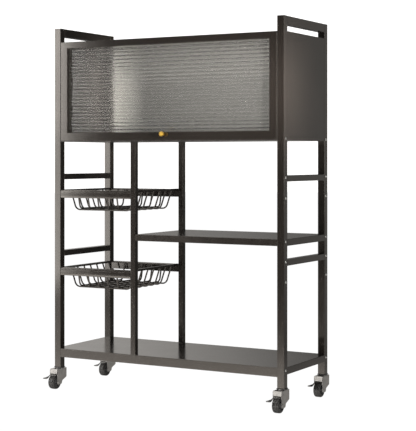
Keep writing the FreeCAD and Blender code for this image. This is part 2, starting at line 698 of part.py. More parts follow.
def basket(label, rim_level, bolt_level):
    body = new_body(label)
    # flat rim bar all round, standing a little proud of the rim level
    sk = new_sketch(body, "XY_Plane", size("rim_proud"))
    rectangle(sk, -RIM_X, RIM_FRONT, RIM_X, RIM_BACK)
    rectangle(sk, -RIM_X + RW, RIM_FRONT + RW, RIM_X - RW, RIM_BACK - RW)
    pad(body, sk, size("rim_thick"), back=True)
    under = size("rim_proud") - size("rim_thick")
    # wires from side to side
    path = new_sketch(body, "XZ_Plane", 120)
    wire_path(path, -SIDE_TOP, SIDE_TOP, size("side_inset"), size("side_bend"), DROP)
    path.AttachmentOffset = FreeCAD.Placement(V(0, under.value + 1.0, 120), FreeCAD.Rotation())
    prof = new_sketch(body, "XY_Plane", under + 1.0)
    circle(prof, -SIDE_TOP, -120, WIRE)
    pipe = body.newObject("PartDesign::AdditivePipe", "CrossWire")
    pipe.Profile = prof
    pipe.Spine = path
    pipe.Mode = "Frenet"
    doc.recompute()
    pattern(body, pipe, "Y_Axis", size("wire_pitch") * (size("cross_wires") - 1), size("cross_wires"))
    doc.recompute()
    # wires from front to back, lying on the others
    span = size("wire_pitch") * (size("long_wires") - 1)
    lo, hi = RIM_FRONT + 6, RIM_BACK - 4
    path = new_sketch(body, "YZ_Plane", -span / 2)
    rise_z = WIRE * 2 - size("weld_bite")
    wire_path(path, lo, hi, size("end_inset"), size("end_bend"), DROP - rise_z)
    path.AttachmentOffset = FreeCAD.Placement(V(0, under.value + 1.0, -(span / 2).value), FreeCAD.Rotation())
    prof = new_sketch(body, "XY_Plane", under + 1.0)
    circle(prof, -span / 2, lo, WIRE)
    pipe = body.newObject("PartDesign::AdditivePipe", "LongWire")
    pipe.Profile = prof
    pipe.Spine = path
    pipe.Mode = "Frenet"
    doc.recompute()
    pattern(body, pipe, "X_Axis", span, size("long_wires"))
    doc.recompute()
    place(body, BX, 0, rim_level)
    # front bar with a set-back upper lip, welded to the rim
    bar = new_body(label + "_front")
    sk = new_sketch(bar, "YZ_Plane")
    lip = size("front_lip_height")
    low = -(lip + size("front_bar_height"))
    polygon(sk, [(0, low), (size("front_bar_thick"), low), (size("front_bar_thick"), 0),
                 (size("front_lip_back"), 0), (size("front_lip_back"), -lip), (0, -lip)])
    pad(bar, sk, (BW - 1) * 2, middle=True)

    def long_front(e):
        a, b = e.Vertexes[0].Point, e.Vertexes[-1].Point
        return abs(a.x - b.x) > 50 and abs(a.y) < 1e-6

    fillet(bar, long_front, 0.8)
    place(bar, BX, -HALF_D, rim_level)

    # C-shaped runners: left and right are mirror images
    parts = []
    rh, rd, rw = size("runner_height"), size("runner_depth"), size("runner_wall")
    base = new_body(label + "_runner")
    sk = new_sketch(base, "XZ_Plane")
    top = (rh - size("rim_thick")) / 2 + size("rim_proud")
    polygon(sk, [(0, top), (rd, top), (rd, top - rw), (rw, top - rw), (rw, top - rh + rw), (rd, top - rh + rw),
                 (rd, top - rh), (0, top - rh)])
    pad(base, sk, size("back_rail_front") + 146)
    doc.recompute()
    tab = new_sketch(base, "YZ_Plane")
    rectangle(tab, -(size("back_rail_front") + 163), -23, -(size("back_rail_front") + 140), top)
    pad(base, tab, 1.2)
    doc.recompute()
    plain = base.Shape.copy()
    # the left one is bolted to the post through its tab
    hole = new_sketch(base, "YZ_Plane")
    circle(hole, -(size("back_rail_front") + BOLT_Y), size(bolt_level) - rim_level, size("bolt_radius"))
    pocket(base, hole, 10, middle=True)
    node = doc.addObject("Part::Feature", label + "_runners")
    node.Label = label + "_runners"
    left = base.Shape.copy()
    right = plain.mirror(V(0, 0, 0), V(1, 0, 0))
    left.translate(V(BASKET_L.value, NUMBERS["back_rail_front"], dim(rim_level).value))
    right.translate(V(BASKET_R.value, NUMBERS["back_rail_front"], dim(rim_level).value))
    node.Shape = Part.makeCompound(left.Solids + right.Solids)
    node.Placement = FreeCAD.Placement(V(NUMBERS["shift_x"], NUMBERS["shift_y"], 0), FreeCAD.Rotation())
    PIECES.remove(base)
    PIECES.append(node)


basket("basket_lower", size("basket_lower_rim"), "level_basket_lower")
basket("basket_upper", size("basket_upper_rim"), "level_basket_upper")

# tubes across the back of both baskets, from the rear left post to the rear middle post
rail = new_body("back_rail")
sk = new_sketch(rail, "YZ_Plane")
rectangle(sk, 0, 0, size("back_rail_depth"), size("back_rail_height"))
rectangle(sk, WALL, WALL, size("back_rail_depth") - WALL, size("back_rail_height") - WALL)
pad(rail, sk, BASKET_R - BASKET_L)
group("basket_back_rails", rail, [((BASKET_L, size("back_rail_front"), size(level) + 1.5 - size("back_rail_height")), None)
                                  for level in ("basket_lower_rim", "basket_upper_rim")])

# -------------------------------------------------------------------- bolts
BR, BH, BT = size("bolt_radius"), size("bolt_head_radius"), size("bolt_head_height")


def bolt(name, length):
    """Dome-head bolt pointing to -X, the underside of its head at X = 0."""
    return turned(name, "X", [(-dim(length), 0), (-dim(length), BR), (0, BR), (0, BH), (BT * 0.35, BH), (BT * 0.75, BH * 0.78),
                              (BT, BH * 0.35), (BT, 0)])


def bolt_spots(table):
    spots = []
    for corner, x, y, side in CORNERS:
        for level in table[side]:
            if side == "right":
                spots.append(((HALF_W, y + POST / 2, size(level)), None))
            else:
                spots.append(((-HALF_W, y + POST / 2, size(level)), ((0, 0, 1), 180)))
    return spots


group("through_bolts", bolt("long_bolt_piece", size("long_bolt")), bolt_spots(THROUGH))
group("short_bolts", bolt("short_bolt_piece", size("short_bolt")), bolt_spots(SHORT))

# small screws up and down into the ends of the middle posts
SR, SH, ST, SL = size("screw_radius"), size("screw_head_radius"), size("screw_head_height"), size("screw_length")
screw = turned("small_screw", "Z", [(-ST, 0), (-ST, SH), (0, SH), (0, SR), (SL, SR), (SL, 0)])
group("mid_post_screws", screw, [((SCREW_X, -SCREW_Y, size("bottom_shelf_level") - SHEET), None),
                                 ((SCREW_X, SCREW_Y, size("bottom_shelf_level") - SHEET), None),
                                 ((SCREW_X, SCREW_Y, size("cabinet_bottom") + SHEET), ((1, 0, 0), 180))])

# --------------------------------------------------------- caps and casters
cap = new_body("cap")
sk = new_sketch(cap, "XY_Plane")
inner_side = POST - WALL * 2
rectangle(sk, -inner_side / 2, -inner_side / 2, inner_side / 2, inner_side / 2)
pad(cap, sk, 14, back=True)
fillet(cap, lambda e: abs(e.Vertexes[0].Point.z) < 1e-6 and abs(e.Vertexes[-1].Point.z) < 1e-6, 1.0)
CENTRES = [(name, x + POST / 2, y + POST / 2) for name, x, y, side in CORNERS]
group("post_caps", cap, [((x, y, TOP), None) for name, x, y in CENTRES])

PS = size("plug_side")
plug = new_body("plug")
sk = new_sketch(plug, "XY_Plane")
rectangle(sk, -PS / 2, -PS / 2, PS / 2, PS / 2)
pad(plug, sk, size("plug_flange"), back=True)
fillet(plug, upright, 3.0)
sk = new_sketch(plug, "XY_Plane")
rectangle(sk, -inner_side / 2, -inner_side / 2, inner_side / 2, inner_side / 2)
pad(plug, sk, size("plug_height"))
doc.recompute()
sk = new_sketch(plug, "XY_Plane")
circle(sk, 0, 0, size("stem_radius"))
pocket(plug, sk, 120, middle=True)
group("caster_plugs", plug, [((x, y, POST_FOOT), None) for name, x, y in CENTRES])

RB, RT = size("race_bottom"), size("race_thick")
stem = turned("stem", "Z", [(65.2, 0), (65.2, 7.5), (66.2, 8.5), (67.5, 8.5), (67.5, size("stem_radius")), (RB, size("stem_radius")),
                            (RB, size("race_radius") - 0.8), (RB + 0.8, size("race_radius")), (RB + RT, size("race_radius")),
                            (RB + RT, size("stem_radius")), (POST_FOOT + 20, size("stem_radius")), (POST_FOOT + 20, 0)])
group("caster_stems", stem, [((x, y, 0), None) for name, x, y in CENTRES])

TRAIL, WR = size("caster_trail"), size("wheel_radius")
FI, FS = size("fork_inner"), size("fork_sheet")
AX = size("axle_radius")

for name, cx, cy in CENTRES:
    # stamped fork: a top plate with a hood in front, and a cheek each side down to the axle
    fork = new_body("caster_fork_" + name)
    sk = new_sketch(fork, "YZ_Plane")
    ft, fr, ff = size("fork_top"), size("fork_rear"), size("fork_front")
    polygon(sk, [(fr, ft), (-ff, ft), (-ff, size("fork_hood")), (-ff, 19.5), (-ff + 3.5, 16), (-12.5, 16), (-8.5, 19.5), (-6.5, 28), (fr, 38)])
    pad(fork, sk, (FI + FS) * 2, middle=True)
    doc.recompute()

    def top_rim(e):
        a, b = e.Vertexes[0].Point, e.Vertexes[-1].Point
        return abs(a.z - 70.3) < 1e-6 and abs(b.z - 70.3) < 1e-6

    fillet(fork, top_rim, 2.0)
    # inside of the fork
    sk = new_sketch(fork, "YZ_Plane")
    polygon(sk, [(fr + 8, ft - size("fork_plate")), (-ff + FS, ft - size("fork_plate")), (-ff + FS, size("fork_hood")),
                 (-ff - 12, size("fork_hood")), (-ff - 12, 5), (fr + 8, 5)])
    pocket(fork, sk, FI * 2, middle=True)
    sk = new_sketch(fork, "XY_Plane")
    circle(sk, 0, 0, size("stem_radius") + 0.06)
    pocket(fork, sk, 300, middle=True)
    sk = new_sketch(fork, "YZ_Plane")
    circle(sk, -TRAIL, WR, AX)
    circle(sk, -size("pedal_pin_back"), size("pedal_pin_level"), size("pedal_pin_radius") + 0.06)
    pocket(fork, sk, 300, middle=True)
    place(fork, cx, cy, 0)

    # axle rivet across the cheeks
    half_out = FI + FS
    axle = turned("caster_axle_" + name, "X", [(-half_out - 0.9, 0), (-half_out - 0.9, 4.4), (-half_out - 0.4, 5.6), (-half_out, 5.6),
                                               (-half_out, AX), (half_out, AX), (half_out, 5.6), (half_out + 0.4, 5.6),
                                               (half_out + 0.9, 4.4), (half_out + 0.9, 0)])
    place(axle, cx, cy - TRAIL, WR)

    # wheel: hub with a thin web and a longer boss, and the tread moulded round it
    ww, hr = size("wheel_width") / 2, size("hub_radius")
    bore = AX + size("axle_play")
    hub = turned("caster_wheel_" + name, "X", [(-size("hub_half"), bore), (-size("hub_half"), 6.2), (-ww + 4, 7), (-ww + 4, hr - 3), (-ww + 1, hr - 2),
                                               (-ww + 1, hr), (ww - 1, hr), (ww - 1, hr - 2), (ww - 4, hr - 3), (ww - 4, 7), (size("hub_half"), 6.2),
                                               (size("hub_half"), bore)])
    place(hub, cx, cy - TRAIL, WR)
    tyre = turned("caster_tyre_" + name, "X", [(-ww + 0.6, hr), (-ww, hr + 1.2), (-ww, WR - 3.4), (-ww + 0.8, WR - 1.5), (-ww + 2.6, WR - 0.4), (-ww + 5.5, WR), (ww - 5.5, WR),
                                               (ww - 2.6, WR - 0.4), (ww - 0.8, WR - 1.5), (ww, WR - 3.4), (ww, hr + 1.2), (ww - 0.6, hr)])
    place(tyre, cx, cy - TRAIL, WR)

    # brake pedal: trunnions in the cheeks, a shoe over the tread, and an arm on the left that turns out into a blade
    pedal = new_body("caster_pedal_" + name)
    pb, pl = size("pedal_pin_back"), size("pedal_pin_level")
    ps, ph = size("pedal_sheet"), size("pedal_half")
    pf, pa, pw = size("pedal_front"), size("pedal_arm"), size("pedal_wing")
    sk = new_sketch(pedal, "YZ_Plane")
    polygon(sk, [(-pb + 3, pl + 3), (-pb - 2.5, pl + 3), (-31, 57.5), (-32.2, 54.6), (-34, 52.6), (-37, 51.4), (-40, 50.4), (-41.5, 48.2),
                 (-40, 48.9), (-37, 49.9), (-34, 50.65), (-31, 51.8), (-29, pl - 3.2), (-pb + 3, pl - 3.2)])
    pad(pedal, sk, ph * 2, middle=True)
    doc.recompute()
    sk = new_sketch(pedal, "YZ_Plane", -pw)
    polygon(sk, [(-36.2, 51.72), (-37, 51.4), (-40, 50.4), (-44, 47.6), (-49, 43.6), (-54, 41.2), (-pf, 40.0), (-pf, 40.0 - ps), (-54, 41.2 - ps),
                 (-48.2, 41.2), (-43.4, 45.0), (-40.4, 47.9), (-36.2, 49.6)])
    pad(pedal, sk, pw - pa)
    doc.recompute()
    sk = new_sketch(pedal, "YZ_Plane")
    circle(sk, -pb, pl, size("pedal_pin_radius"))
    pad(pedal, sk, (FI + FS) * 2, middle=True)
    doc.recompute()

    # outline of the arm and the blade seen from above
    sk = new_sketch(pedal, "XY_Plane")
    polygon(sk, [(-ph, -35), (-pw - 4, -35), (-pw - 4, -57), (-pw, -57), (-pw + 3.5, -53), (-18.5, -49), (-ph, -45)])
    pocket(pedal, sk, 300, middle=True)
    place(pedal, cx, cy, 0)

# -------------------------------------------------------------- check, write
doc.recompute()
bad = []
for obj in doc.Objects:
    if "Invalid" in obj.State or "Error" in obj.State:
        bad.append("%s: %s" % (obj.Name, obj.State))
names = set()
for piece in PIECES:
    if piece.Shape.isNull() or not piece.Shape.isValid() or not piece.Shape.Solids:
        bad.append("%s: empty or invalid shape" % piece.Label)
    if piece.Label in names:
        bad.append("%s: name used twice" % piece.Label)
    names.add(piece.Label)
if bad:
    print("\n".join(bad))
    sys.exit(1)

os.makedirs("parts", exist_ok=True)
box = FreeCAD.BoundBox()
for piece in PIECES:
    shape = piece.Shape
    box.add(shape.BoundBox)
    shape.exportStep(os.path.join("parts", piece.Label + ".step"))
print("%d pieces, box X %.2f..%.2f Y %.2f..%.2f Z %.2f..%.2f" % (len(PIECES), box.XMin, box.XMax, box.YMin, box.YMax, box.ZMin, box.ZMax))
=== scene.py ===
import math

import bmesh
import bpy
from mathutils import Matrix, Quaternion, Vector


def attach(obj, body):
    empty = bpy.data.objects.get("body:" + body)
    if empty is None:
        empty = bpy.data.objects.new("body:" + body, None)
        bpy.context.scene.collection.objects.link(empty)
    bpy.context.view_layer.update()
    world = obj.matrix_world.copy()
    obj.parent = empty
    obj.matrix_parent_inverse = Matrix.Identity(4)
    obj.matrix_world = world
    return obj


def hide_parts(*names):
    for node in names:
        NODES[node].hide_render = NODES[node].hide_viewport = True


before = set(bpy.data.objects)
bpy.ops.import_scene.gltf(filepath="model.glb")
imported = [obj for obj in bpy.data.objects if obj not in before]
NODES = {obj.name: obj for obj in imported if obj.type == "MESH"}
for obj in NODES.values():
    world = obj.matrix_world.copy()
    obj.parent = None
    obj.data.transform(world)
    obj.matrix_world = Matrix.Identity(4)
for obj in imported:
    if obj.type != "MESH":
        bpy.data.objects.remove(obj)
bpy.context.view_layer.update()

# The frame's origin is the middle of its box. Sizes below are millimetres from the middle of the
# footprint of the four posts, as in the drawing, and P() takes them to the frame.
SX, SY = 6.0, 21.5


def P(x, y, z):
    return Vector(((x + SX) / 1000.0, (y + SY) / 1000.0, z / 1000.0))


# ------------------------------------------------------------------ camera
scene = bpy.context.scene
scene.view_settings.view_transform = "Standard"
scene.view_settings.look = "None"
scene.view_settings.exposure = 0.0
scene.view_settings.gamma = 1.0

cam_data = bpy.data.cameras.new("camera")
cam = bpy.data.objects.new("camera", cam_data)
scene.collection.objects.link(cam)
cam.location = P(2233.0, -3842.6, 812.1)
cam.rotation_euler = (math.radians(90), 0, math.radians(29.305))
cam_data.sensor_fit = "HORIZONTAL"
cam_data.sensor_width = 36.0
cam_data.lens = 36.0 * 1276.8 / 416.0
cam_data.shift_x = 0.0
cam_data.shift_y = -57.425 / 416.0
cam_data.clip_start = 0.05
cam_data.clip_end = 80
scene.camera = cam


# ------------------------------------------------------------ shading nodes
def nt(mat):
    mat.use_nodes = True
    tree = mat.node_tree
    for n in list(tree.nodes):
        tree.nodes.remove(n)
    return tree


def principled(tree):
    out = tree.nodes.new("ShaderNodeOutputMaterial")
    bsdf = tree.nodes.new("ShaderNodeBsdfPrincipled")
    tree.links.new(bsdf.outputs["BSDF"], out.inputs["Surface"])
    return bsdf, out


def coords(tree):
    return tree.nodes.new("ShaderNodeTexCoord").outputs["Object"]


def noise(tree, vec, scale, detail=3.0, rough=0.55, stretch=None):
    if stretch is not None:
        m = tree.nodes.new("ShaderNodeMapping")
        m.inputs["Scale"].default_value = stretch
        tree.links.new(vec, m.inputs["Vector"])
        vec = m.outputs["Vector"]
    n = tree.nodes.new("ShaderNodeTexNoise")
    n.inputs["Scale"].default_value = scale
    n.inputs["Detail"].default_value = detail
    n.inputs["Roughness"].default_value = rough
    tree.links.new(vec, n.inputs["Vector"])
    return n.outputs["Fac"]


def ramp(tree, fac, stops):
    r = tree.nodes.new("ShaderNodeValToRGB")
    el = r.color_ramp.elements
    while len(el) < len(stops):
        el.new(0.5)
    for e, (pos, col) in zip(el, stops):
        e.position = pos
        e.color = (*col, 1) if len(col) == 3 else col
    tree.links.new(fac, r.inputs["Fac"])
    return r.outputs["Color"]


def spread(tree, fac, lo, hi, a=0.0, b=1.0, smooth=False):
    m = tree.nodes.new("ShaderNodeMapRange")
    if smooth:
        m.interpolation_type = "SMOOTHSTEP"
    m.inputs["From Min"].default_value = lo
    m.inputs["From Max"].default_value = hi
    m.inputs["To Min"].default_value = a
    m.inputs["To Max"].default_value = b
    tree.links.new(fac, m.inputs["Value"])
    return m.outputs["Result"]


def calc(tree, a, b, op="ADD"):
    m = tree.nodes.new("ShaderNodeMath")
    m.operation = op
    for i, v in enumerate((a, b)):
        if isinstance(v, (int, float)):
            m.inputs[i].default_value = v
        else:
            tree.links.new(v, m.inputs[i])
    return m.outputs[0]


def bump(tree, height, strength, distance, normal=None):
    b = tree.nodes.new("ShaderNodeBump")
    b.inputs["Strength"].default_value = strength
    b.inputs["Distance"].default_value = distance
    tree.links.new(height, b.inputs["Height"])
    if normal is not None:
        tree.links.new(normal, b.inputs["Normal"])
    return b.outputs["Normal"]


def blend_colour(tree, fac, a, b):
    m = tree.nodes.new("ShaderNodeMix")
    m.data_type = "RGBA"
    tree.links.new(fac, m.inputs["Factor"])
    for sock, v in (("A", a), ("B", b)):
        s = [i for i in m.inputs if i.name == sock and i.type == "RGBA"][0]
        if isinstance(v, tuple):
            s.default_value = (*v, 1)
        else:
            tree.links.new(v, s)
    return [o for o in m.outputs if o.type == "RGBA"][0]


def height_of(tree, vec):
    s = tree.nodes.new("ShaderNodeSeparateXYZ")
    tree.links.new(vec, s.inputs["Vector"])
    return s.outputs["Z"]


def edge_wear(tree, radius=0.0012):
    """1 near a sharp outer edge, 0 on the flats; paint() breaks it up with noise."""
    bev = tree.nodes.new("ShaderNodeBevel")
    bev.samples = 4
    bev.inputs["Radius"].default_value = radius
    geo = tree.nodes.new("ShaderNodeNewGeometry")
    dot = tree.nodes.new("ShaderNodeVectorMath")
    dot.operation = "DOT_PRODUCT"
    tree.links.new(bev.outputs["Normal"], dot.inputs[0])
    tree.links.new(geo.outputs["Normal"], dot.inputs[1])
    return spread(tree, dot.outputs["Value"], 0.995, 0.86, 0.0, 1.0)


def paint(name, dark=(0.0108, 0.0089, 0.0076), light=(0.0138, 0.0115, 0.0100), rough=(0.11, 0.145), ior=1.72, peel=0.035, wave=0.0, wear=True, dust=0.0):
    """Stoved semi-gloss paint: slow colour drift, fine orange peel, faint wiping marks, thinner and rubbed along its edges."""
    mat = bpy.data.materials.new(name)
    t = nt(mat)
    bsdf, _ = principled(t)
    c = coords(t)
    colour = ramp(t, noise(t, c, 3.1, 3.0), [(0.3, dark), (0.7, light)])
    cloud = noise(t, c, 6.0, 4.0, 0.6)
    wipe = noise(t, c, 26.0, 3.0, 0.6, stretch=(1.0, 1.0, 0.22))
    level = calc(t, spread(t, cloud, 0.3, 0.7, rough[0], rough[1]), spread(t, wipe, 0.35, 0.7, -0.008, 0.014))
    if wear:
        worn = calc(t, edge_wear(t), spread(t, noise(t, c, 55.0, 4.0, 0.65), 0.44, 0.66), "MULTIPLY")
        colour = blend_colour(t, calc(t, worn, 0.55, "MULTIPLY"), colour, (0.055, 0.052, 0.048))
        level = calc(t, level, calc(t, worn, 0.08, "MULTIPLY"))
    if dust:
        speck = spread(t, noise(t, c, 380.0, 2.0, 0.5), 0.70, 0.80)
        colour = blend_colour(t, calc(t, speck, dust, "MULTIPLY"), colour, (0.12, 0.115, 0.11))
    t.links.new(colour, bsdf.inputs["Base Color"])
    t.links.new(level, bsdf.inputs["Roughness"])
    n = bump(t, noise(t, c, 520.0, 2.0, 0.5), peel, 0.0003)
    if wave:
        n = bump(t, noise(t, c, 2.6, 1.0, 0.4), wave, 0.006, n)
    t.links.new(n, bsdf.inputs["Normal"])
    bsdf.inputs["IOR"].default_value = ior
    bsdf.inputs["Specular Tint"].default_value = (1.0, 0.945, 0.885, 1.0)
    return mat


def metal(name, base, light, rough=(0.25, 0.4), brushed=None, metallic=1.0, scale=1.0, grime=None, spangle=False, painted_shade_band=None):
    mat = bpy.data.materials.new(name)
    t = nt(mat)
    bsdf, _ = principled(t)
    c = coords(t)
    colour = ramp(t, noise(t, c, 60.0 * scale, 4.0), [(0.3, base), (0.7, light)])
    level = spread(t, noise(t, c, 140.0 * scale, 4.0, 0.6), 0.3, 0.7, rough[0], rough[1])
    if grime is not None:
        dirt_and_shade_film = spread(t, noise(t, c, 95.0 * scale, 5.0, 0.7), 0.52, 0.72)
        colour = blend_colour(t, calc(t, dirt_and_shade_film, 0.6, "MULTIPLY"), colour, grime)
        level = calc(t, level, calc(t, dirt_and_shade_film, 0.16, "MULTIPLY"))
    if painted_shade_band is not None:
        # painted shade: colour darkened from one level of Y to the other
        sep = t.nodes.new("ShaderNodeSeparateXYZ")
        t.links.new(c, sep.inputs["Vector"])
        colour = blend_colour(t, spread(t, sep.outputs["Y"], painted_shade_band[0], painted_shade_band[1], 0.0, 0.9), colour, painted_shade_band[2])
    t.links.new(colour, bsdf.inputs["Base Color"])
    t.links.new(level, bsdf.inputs["Roughness"])
    bsdf.inputs["Metallic"].default_value = metallic
    if brushed:
        g = noise(t, c, 400.0, 2.0, 0.6, stretch=brushed)
    else:
        g = noise(t, c, 700.0, 3.0, 0.6)
    t.links.new(bump(t, g, 0.08, 0.0003), bsdf.inputs["Normal"])
    return mat


def plastic(name, dark, light, rough=(0.42, 0.58), grain=700.0, depth=0.12, dust=0.0):
    mat = bpy.data.materials.new(name)
    t = nt(mat)
    bsdf, _ = principled(t)
    c = coords(t)
    colour = ramp(t, noise(t, c, 45.0, 3.0), [(0.3, dark), (0.7, light)])
    if dust:
        dirt_and_shade_film = spread(t, noise(t, c, 120.0, 5.0, 0.7), 0.45, 0.75)
        colour = blend_colour(t, calc(t, dirt_and_shade_film, dust, "MULTIPLY"), colour, (0.16, 0.155, 0.15))
    t.links.new(colour, bsdf.inputs["Base Color"])
    t.links.new(spread(t, noise(t, c, 90.0, 4.0), 0.3, 0.7, rough[0], rough[1]), bsdf.inputs["Roughness"])
    t.links.new(bump(t, noise(t, c, grain, 3.0, 0.6), depth, 0.0004), bsdf.inputs["Normal"])
    return mat


def reeded(name, tint=(0.83, 0.82, 0.785), rough=(0.11, 0.14), first=872.2 + 28.2, pitch=(347.4 - 22.5 - 28.2) / 25, front=-154.4):
    """Clear reeded sheet with a faint smoke tint, painted shade in the valleys between the reeds, drawn marks along the
    reeds and a slightly frosted back.
    """
    mat = bpy.data.materials.new(name)
    t = nt(mat)
    bsdf, out = principled(t)
    c = coords(t)
    body = ramp(t, noise(t, c, 4.0, 2.0), [(0.3, tuple(v * 0.97 for v in tint)), (0.7, tint)])
    # painted shade: the sheet's colour is darkened in the valleys between the reeds, standing in for the dark lines the
    # reeds' refraction and reflections give
    sep = t.nodes.new("ShaderNodeSeparateXYZ")
    t.links.new(c, sep.inputs["Vector"])
    z0, step = P(0, 0, first).z, pitch / 1000.0
    turn = calc(t, calc(t, sep.outputs["Z"], -z0), 2 * math.pi / step, "MULTIPLY")
    wave = t.nodes.new("ShaderNodeMath")
    wave.operation = "COSINE"
    t.links.new(turn, wave.inputs[0])
    valley_shade = spread(t, wave.outputs["Value"], -0.7, 1.0, smooth=True)
    near = spread(t, sep.outputs["Y"], P(0, front + 1.0, 0).y, P(0, front + 1.6, 0).y, 1.0, 0.0)
    patchy = spread(t, noise(t, c, 9.0, 4.0, 0.6, stretch=(0.25, 1, 1)), 0.3, 0.7, 0.80, 1.0)
    dirt_and_shade_film = calc(t, calc(t, valley_shade, near, "MULTIPLY"), patchy, "MULTIPLY")
    # painted shade: in the valleys on the reeded face the colour falls to 0.64 of the tint
    t.links.new(blend_colour(t, dirt_and_shade_film, body, tuple(v * 0.64 for v in tint)), bsdf.inputs["Base Color"])
    t.links.new(spread(t, noise(t, c, 22.0, 3.0), 0.3, 0.7, rough[0], rough[1]), bsdf.inputs["Roughness"])
    # the reeded face is a little frosted by wear
    haze = calc(t, near, 0.03, "MULTIPLY")
    clear = t.nodes.new("ShaderNodeMath")
    clear.operation = "SUBTRACT"
    clear.inputs[0].default_value = 1.0
    t.links.new(haze, clear.inputs[1])
    t.links.new(clear.outputs["Value"], bsdf.inputs["Transmission Weight"])
    bsdf.inputs["IOR"].default_value = 1.49
    t.links.new(bump(t, noise(t, c, 60.0, 2.0, 0.5, stretch=(0.12, 1, 1)), 0.02, 0.0008), bsdf.inputs["Normal"])
    return mat


def prefinished(name, split=0.1909):
    """Back sheet of the cabinet: the same dark paint outside, a pale matt coat on the inner face, which is nearer than split."""
    mat = bpy.data.materials.new(name)
    t = nt(mat)
    bsdf, _ = principled(t)
    c = coords(t)
    sep = t.nodes.new("ShaderNodeSeparateXYZ")
    t.links.new(c, sep.inputs["Vector"])
    outside = spread(t, sep.outputs["Y"], split - 0.0002, split + 0.0002)
    pale = ramp(t, noise(t, c, 4.0, 4.0), [(0.3, (0.302, 0.298, 0.285)), (0.7, (0.342, 0.337, 0.324))])
    rubbed = spread(t, noise(t, c, 30.0, 5.0, 0.7), 0.56, 0.72)
    pale = blend_colour(t, calc(t, rubbed, 0.35, "MULTIPLY"), pale, (0.260, 0.255, 0.244))
    dark = ramp(t, noise(t, c, 3.1, 3.0), [(0.3, (0.0108, 0.0089, 0.0076)), (0.7, (0.0138, 0.0115, 0.0100))])
    t.links.new(blend_colour(t, outside, pale, dark), bsdf.inputs["Base Color"])
    cloud = noise(t, c, 6.0, 4.0, 0.6)
    level = blend_value(t, outside, spread(t, cloud, 0.3, 0.7, 0.46, 0.56), spread(t, cloud, 0.3, 0.7, 0.15, 0.20))
    t.links.new(level, bsdf.inputs["Roughness"])
    t.links.new(bump(t, noise(t, c, 520.0, 2.0, 0.5), 0.035, 0.0003), bsdf.inputs["Normal"])
    return mat


def blend_value(tree, fac, a, b):
    m = tree.nodes.new("ShaderNodeMix")
    m.data_type = "FLOAT"
    for s, v in zip([i for i in m.inputs if i.type == "VALUE"][:3], (fac, a, b)):
        if isinstance(v, (int, float)):
            s.default_value = v
        else:
            tree.links.new(v, s)
    return [o for o in m.outputs if o.type == "VALUE"][0]


PAINT_POST = paint("paint_tube")
PAINT_SHEET = paint("paint_sheet", rough=(0.15, 0.20), wave=0.012, dust=0.10)
PAINT_INSIDE = paint("paint_inside", rough=(0.20, 0.28), wave=0.01, wear=False)
PAINT_WIRE = paint("paint_wire", rough=(0.24, 0.32), wear=False, peel=0.03)
BACKING = prefinished("prefinished_back_sheet")
ZINC = metal("zinc_plate", (0.44, 0.432, 0.418), (0.54, 0.532, 0.518), rough=(0.34, 0.46), grime=(0.30, 0.29, 0.28))
# painted shade: the pedal's zinc plate is the fork's zinc darkened in colour, because the pedal lies less lit
ZINC_PEDAL_SHADED = metal("zinc_pedal_shaded", (0.15, 0.148, 0.145), (0.21, 0.207, 0.203), rough=(0.34, 0.44), grime=(0.08, 0.078, 0.075))
BRIGHT = metal("bright_steel", (0.42, 0.42, 0.415), (0.54, 0.54, 0.53), rough=(0.24, 0.36), grime=(0.24, 0.235, 0.22))
# painted shade: the knob's neck and foot, between the ball and the door, are darkened in colour where the ball shades
# them
BRASS = metal("polished_brass", (0.84, 0.50, 0.075), (0.95, 0.62, 0.13), rough=(0.26, 0.34), scale=0.7, grime=(0.60, 0.33, 0.05),
              painted_shade_band=(P(0, -176.5, 0).y, P(0, -174.0, 0).y, (0.10, 0.055, 0.012)))
BLACK_PLASTIC = plastic("black_plastic", (0.016, 0.016, 0.016), (0.026, 0.026, 0.026))
HUB_PLASTIC = plastic("hub_plastic", (0.030, 0.030, 0.031), (0.045, 0.045, 0.046), rough=(0.34, 0.5))
TREAD = plastic("tread_rubber", (0.012, 0.0118, 0.0115), (0.020, 0.0195, 0.019), rough=(0.24, 0.34), grain=420.0, depth=0.035, dust=0.05)
SEAL = plastic("seal_rubber", (0.010, 0.010, 0.010), (0.018, 0.018, 0.018), rough=(0.6, 0.8))
GLASS = reeded("reeded_glass")


def dress(node, mat):
    ob = NODES[node]
    if not ob.material_slots:
        ob.data.materials.append(mat)
    for s in ob.material_slots:
        s.material = mat


for n in NODES:
    if n in ("bottom_shelf", "middle_shelf", "cabinet_top", "cabinet_side_left", "cabinet_side_right"):
        dress(n, PAINT_SHEET)
    elif n in ("cabinet_floor", "cabinet_floor_lips"):
        dress(n, PAINT_INSIDE)
    elif n == "cabinet_back":
        dress(n, BACKING)
    elif n in ("basket_back_rails",) or n.endswith("_runners") or n.startswith(("post_", "top_rail", "side_rail", "mid_post_f", "mid_post_r", "door_frame")):
        dress(n, PAINT_POST)
    elif n in ("mid_post_screws", "knob_screw", "door_pivot_pins", "caster_stems"):
        dress(n, BRIGHT)
    elif n in ("caster_plugs", "door_pivot_bushes"):
        dress(n, BLACK_PLASTIC)
    elif n == "door_seal":
        dress(n, SEAL)


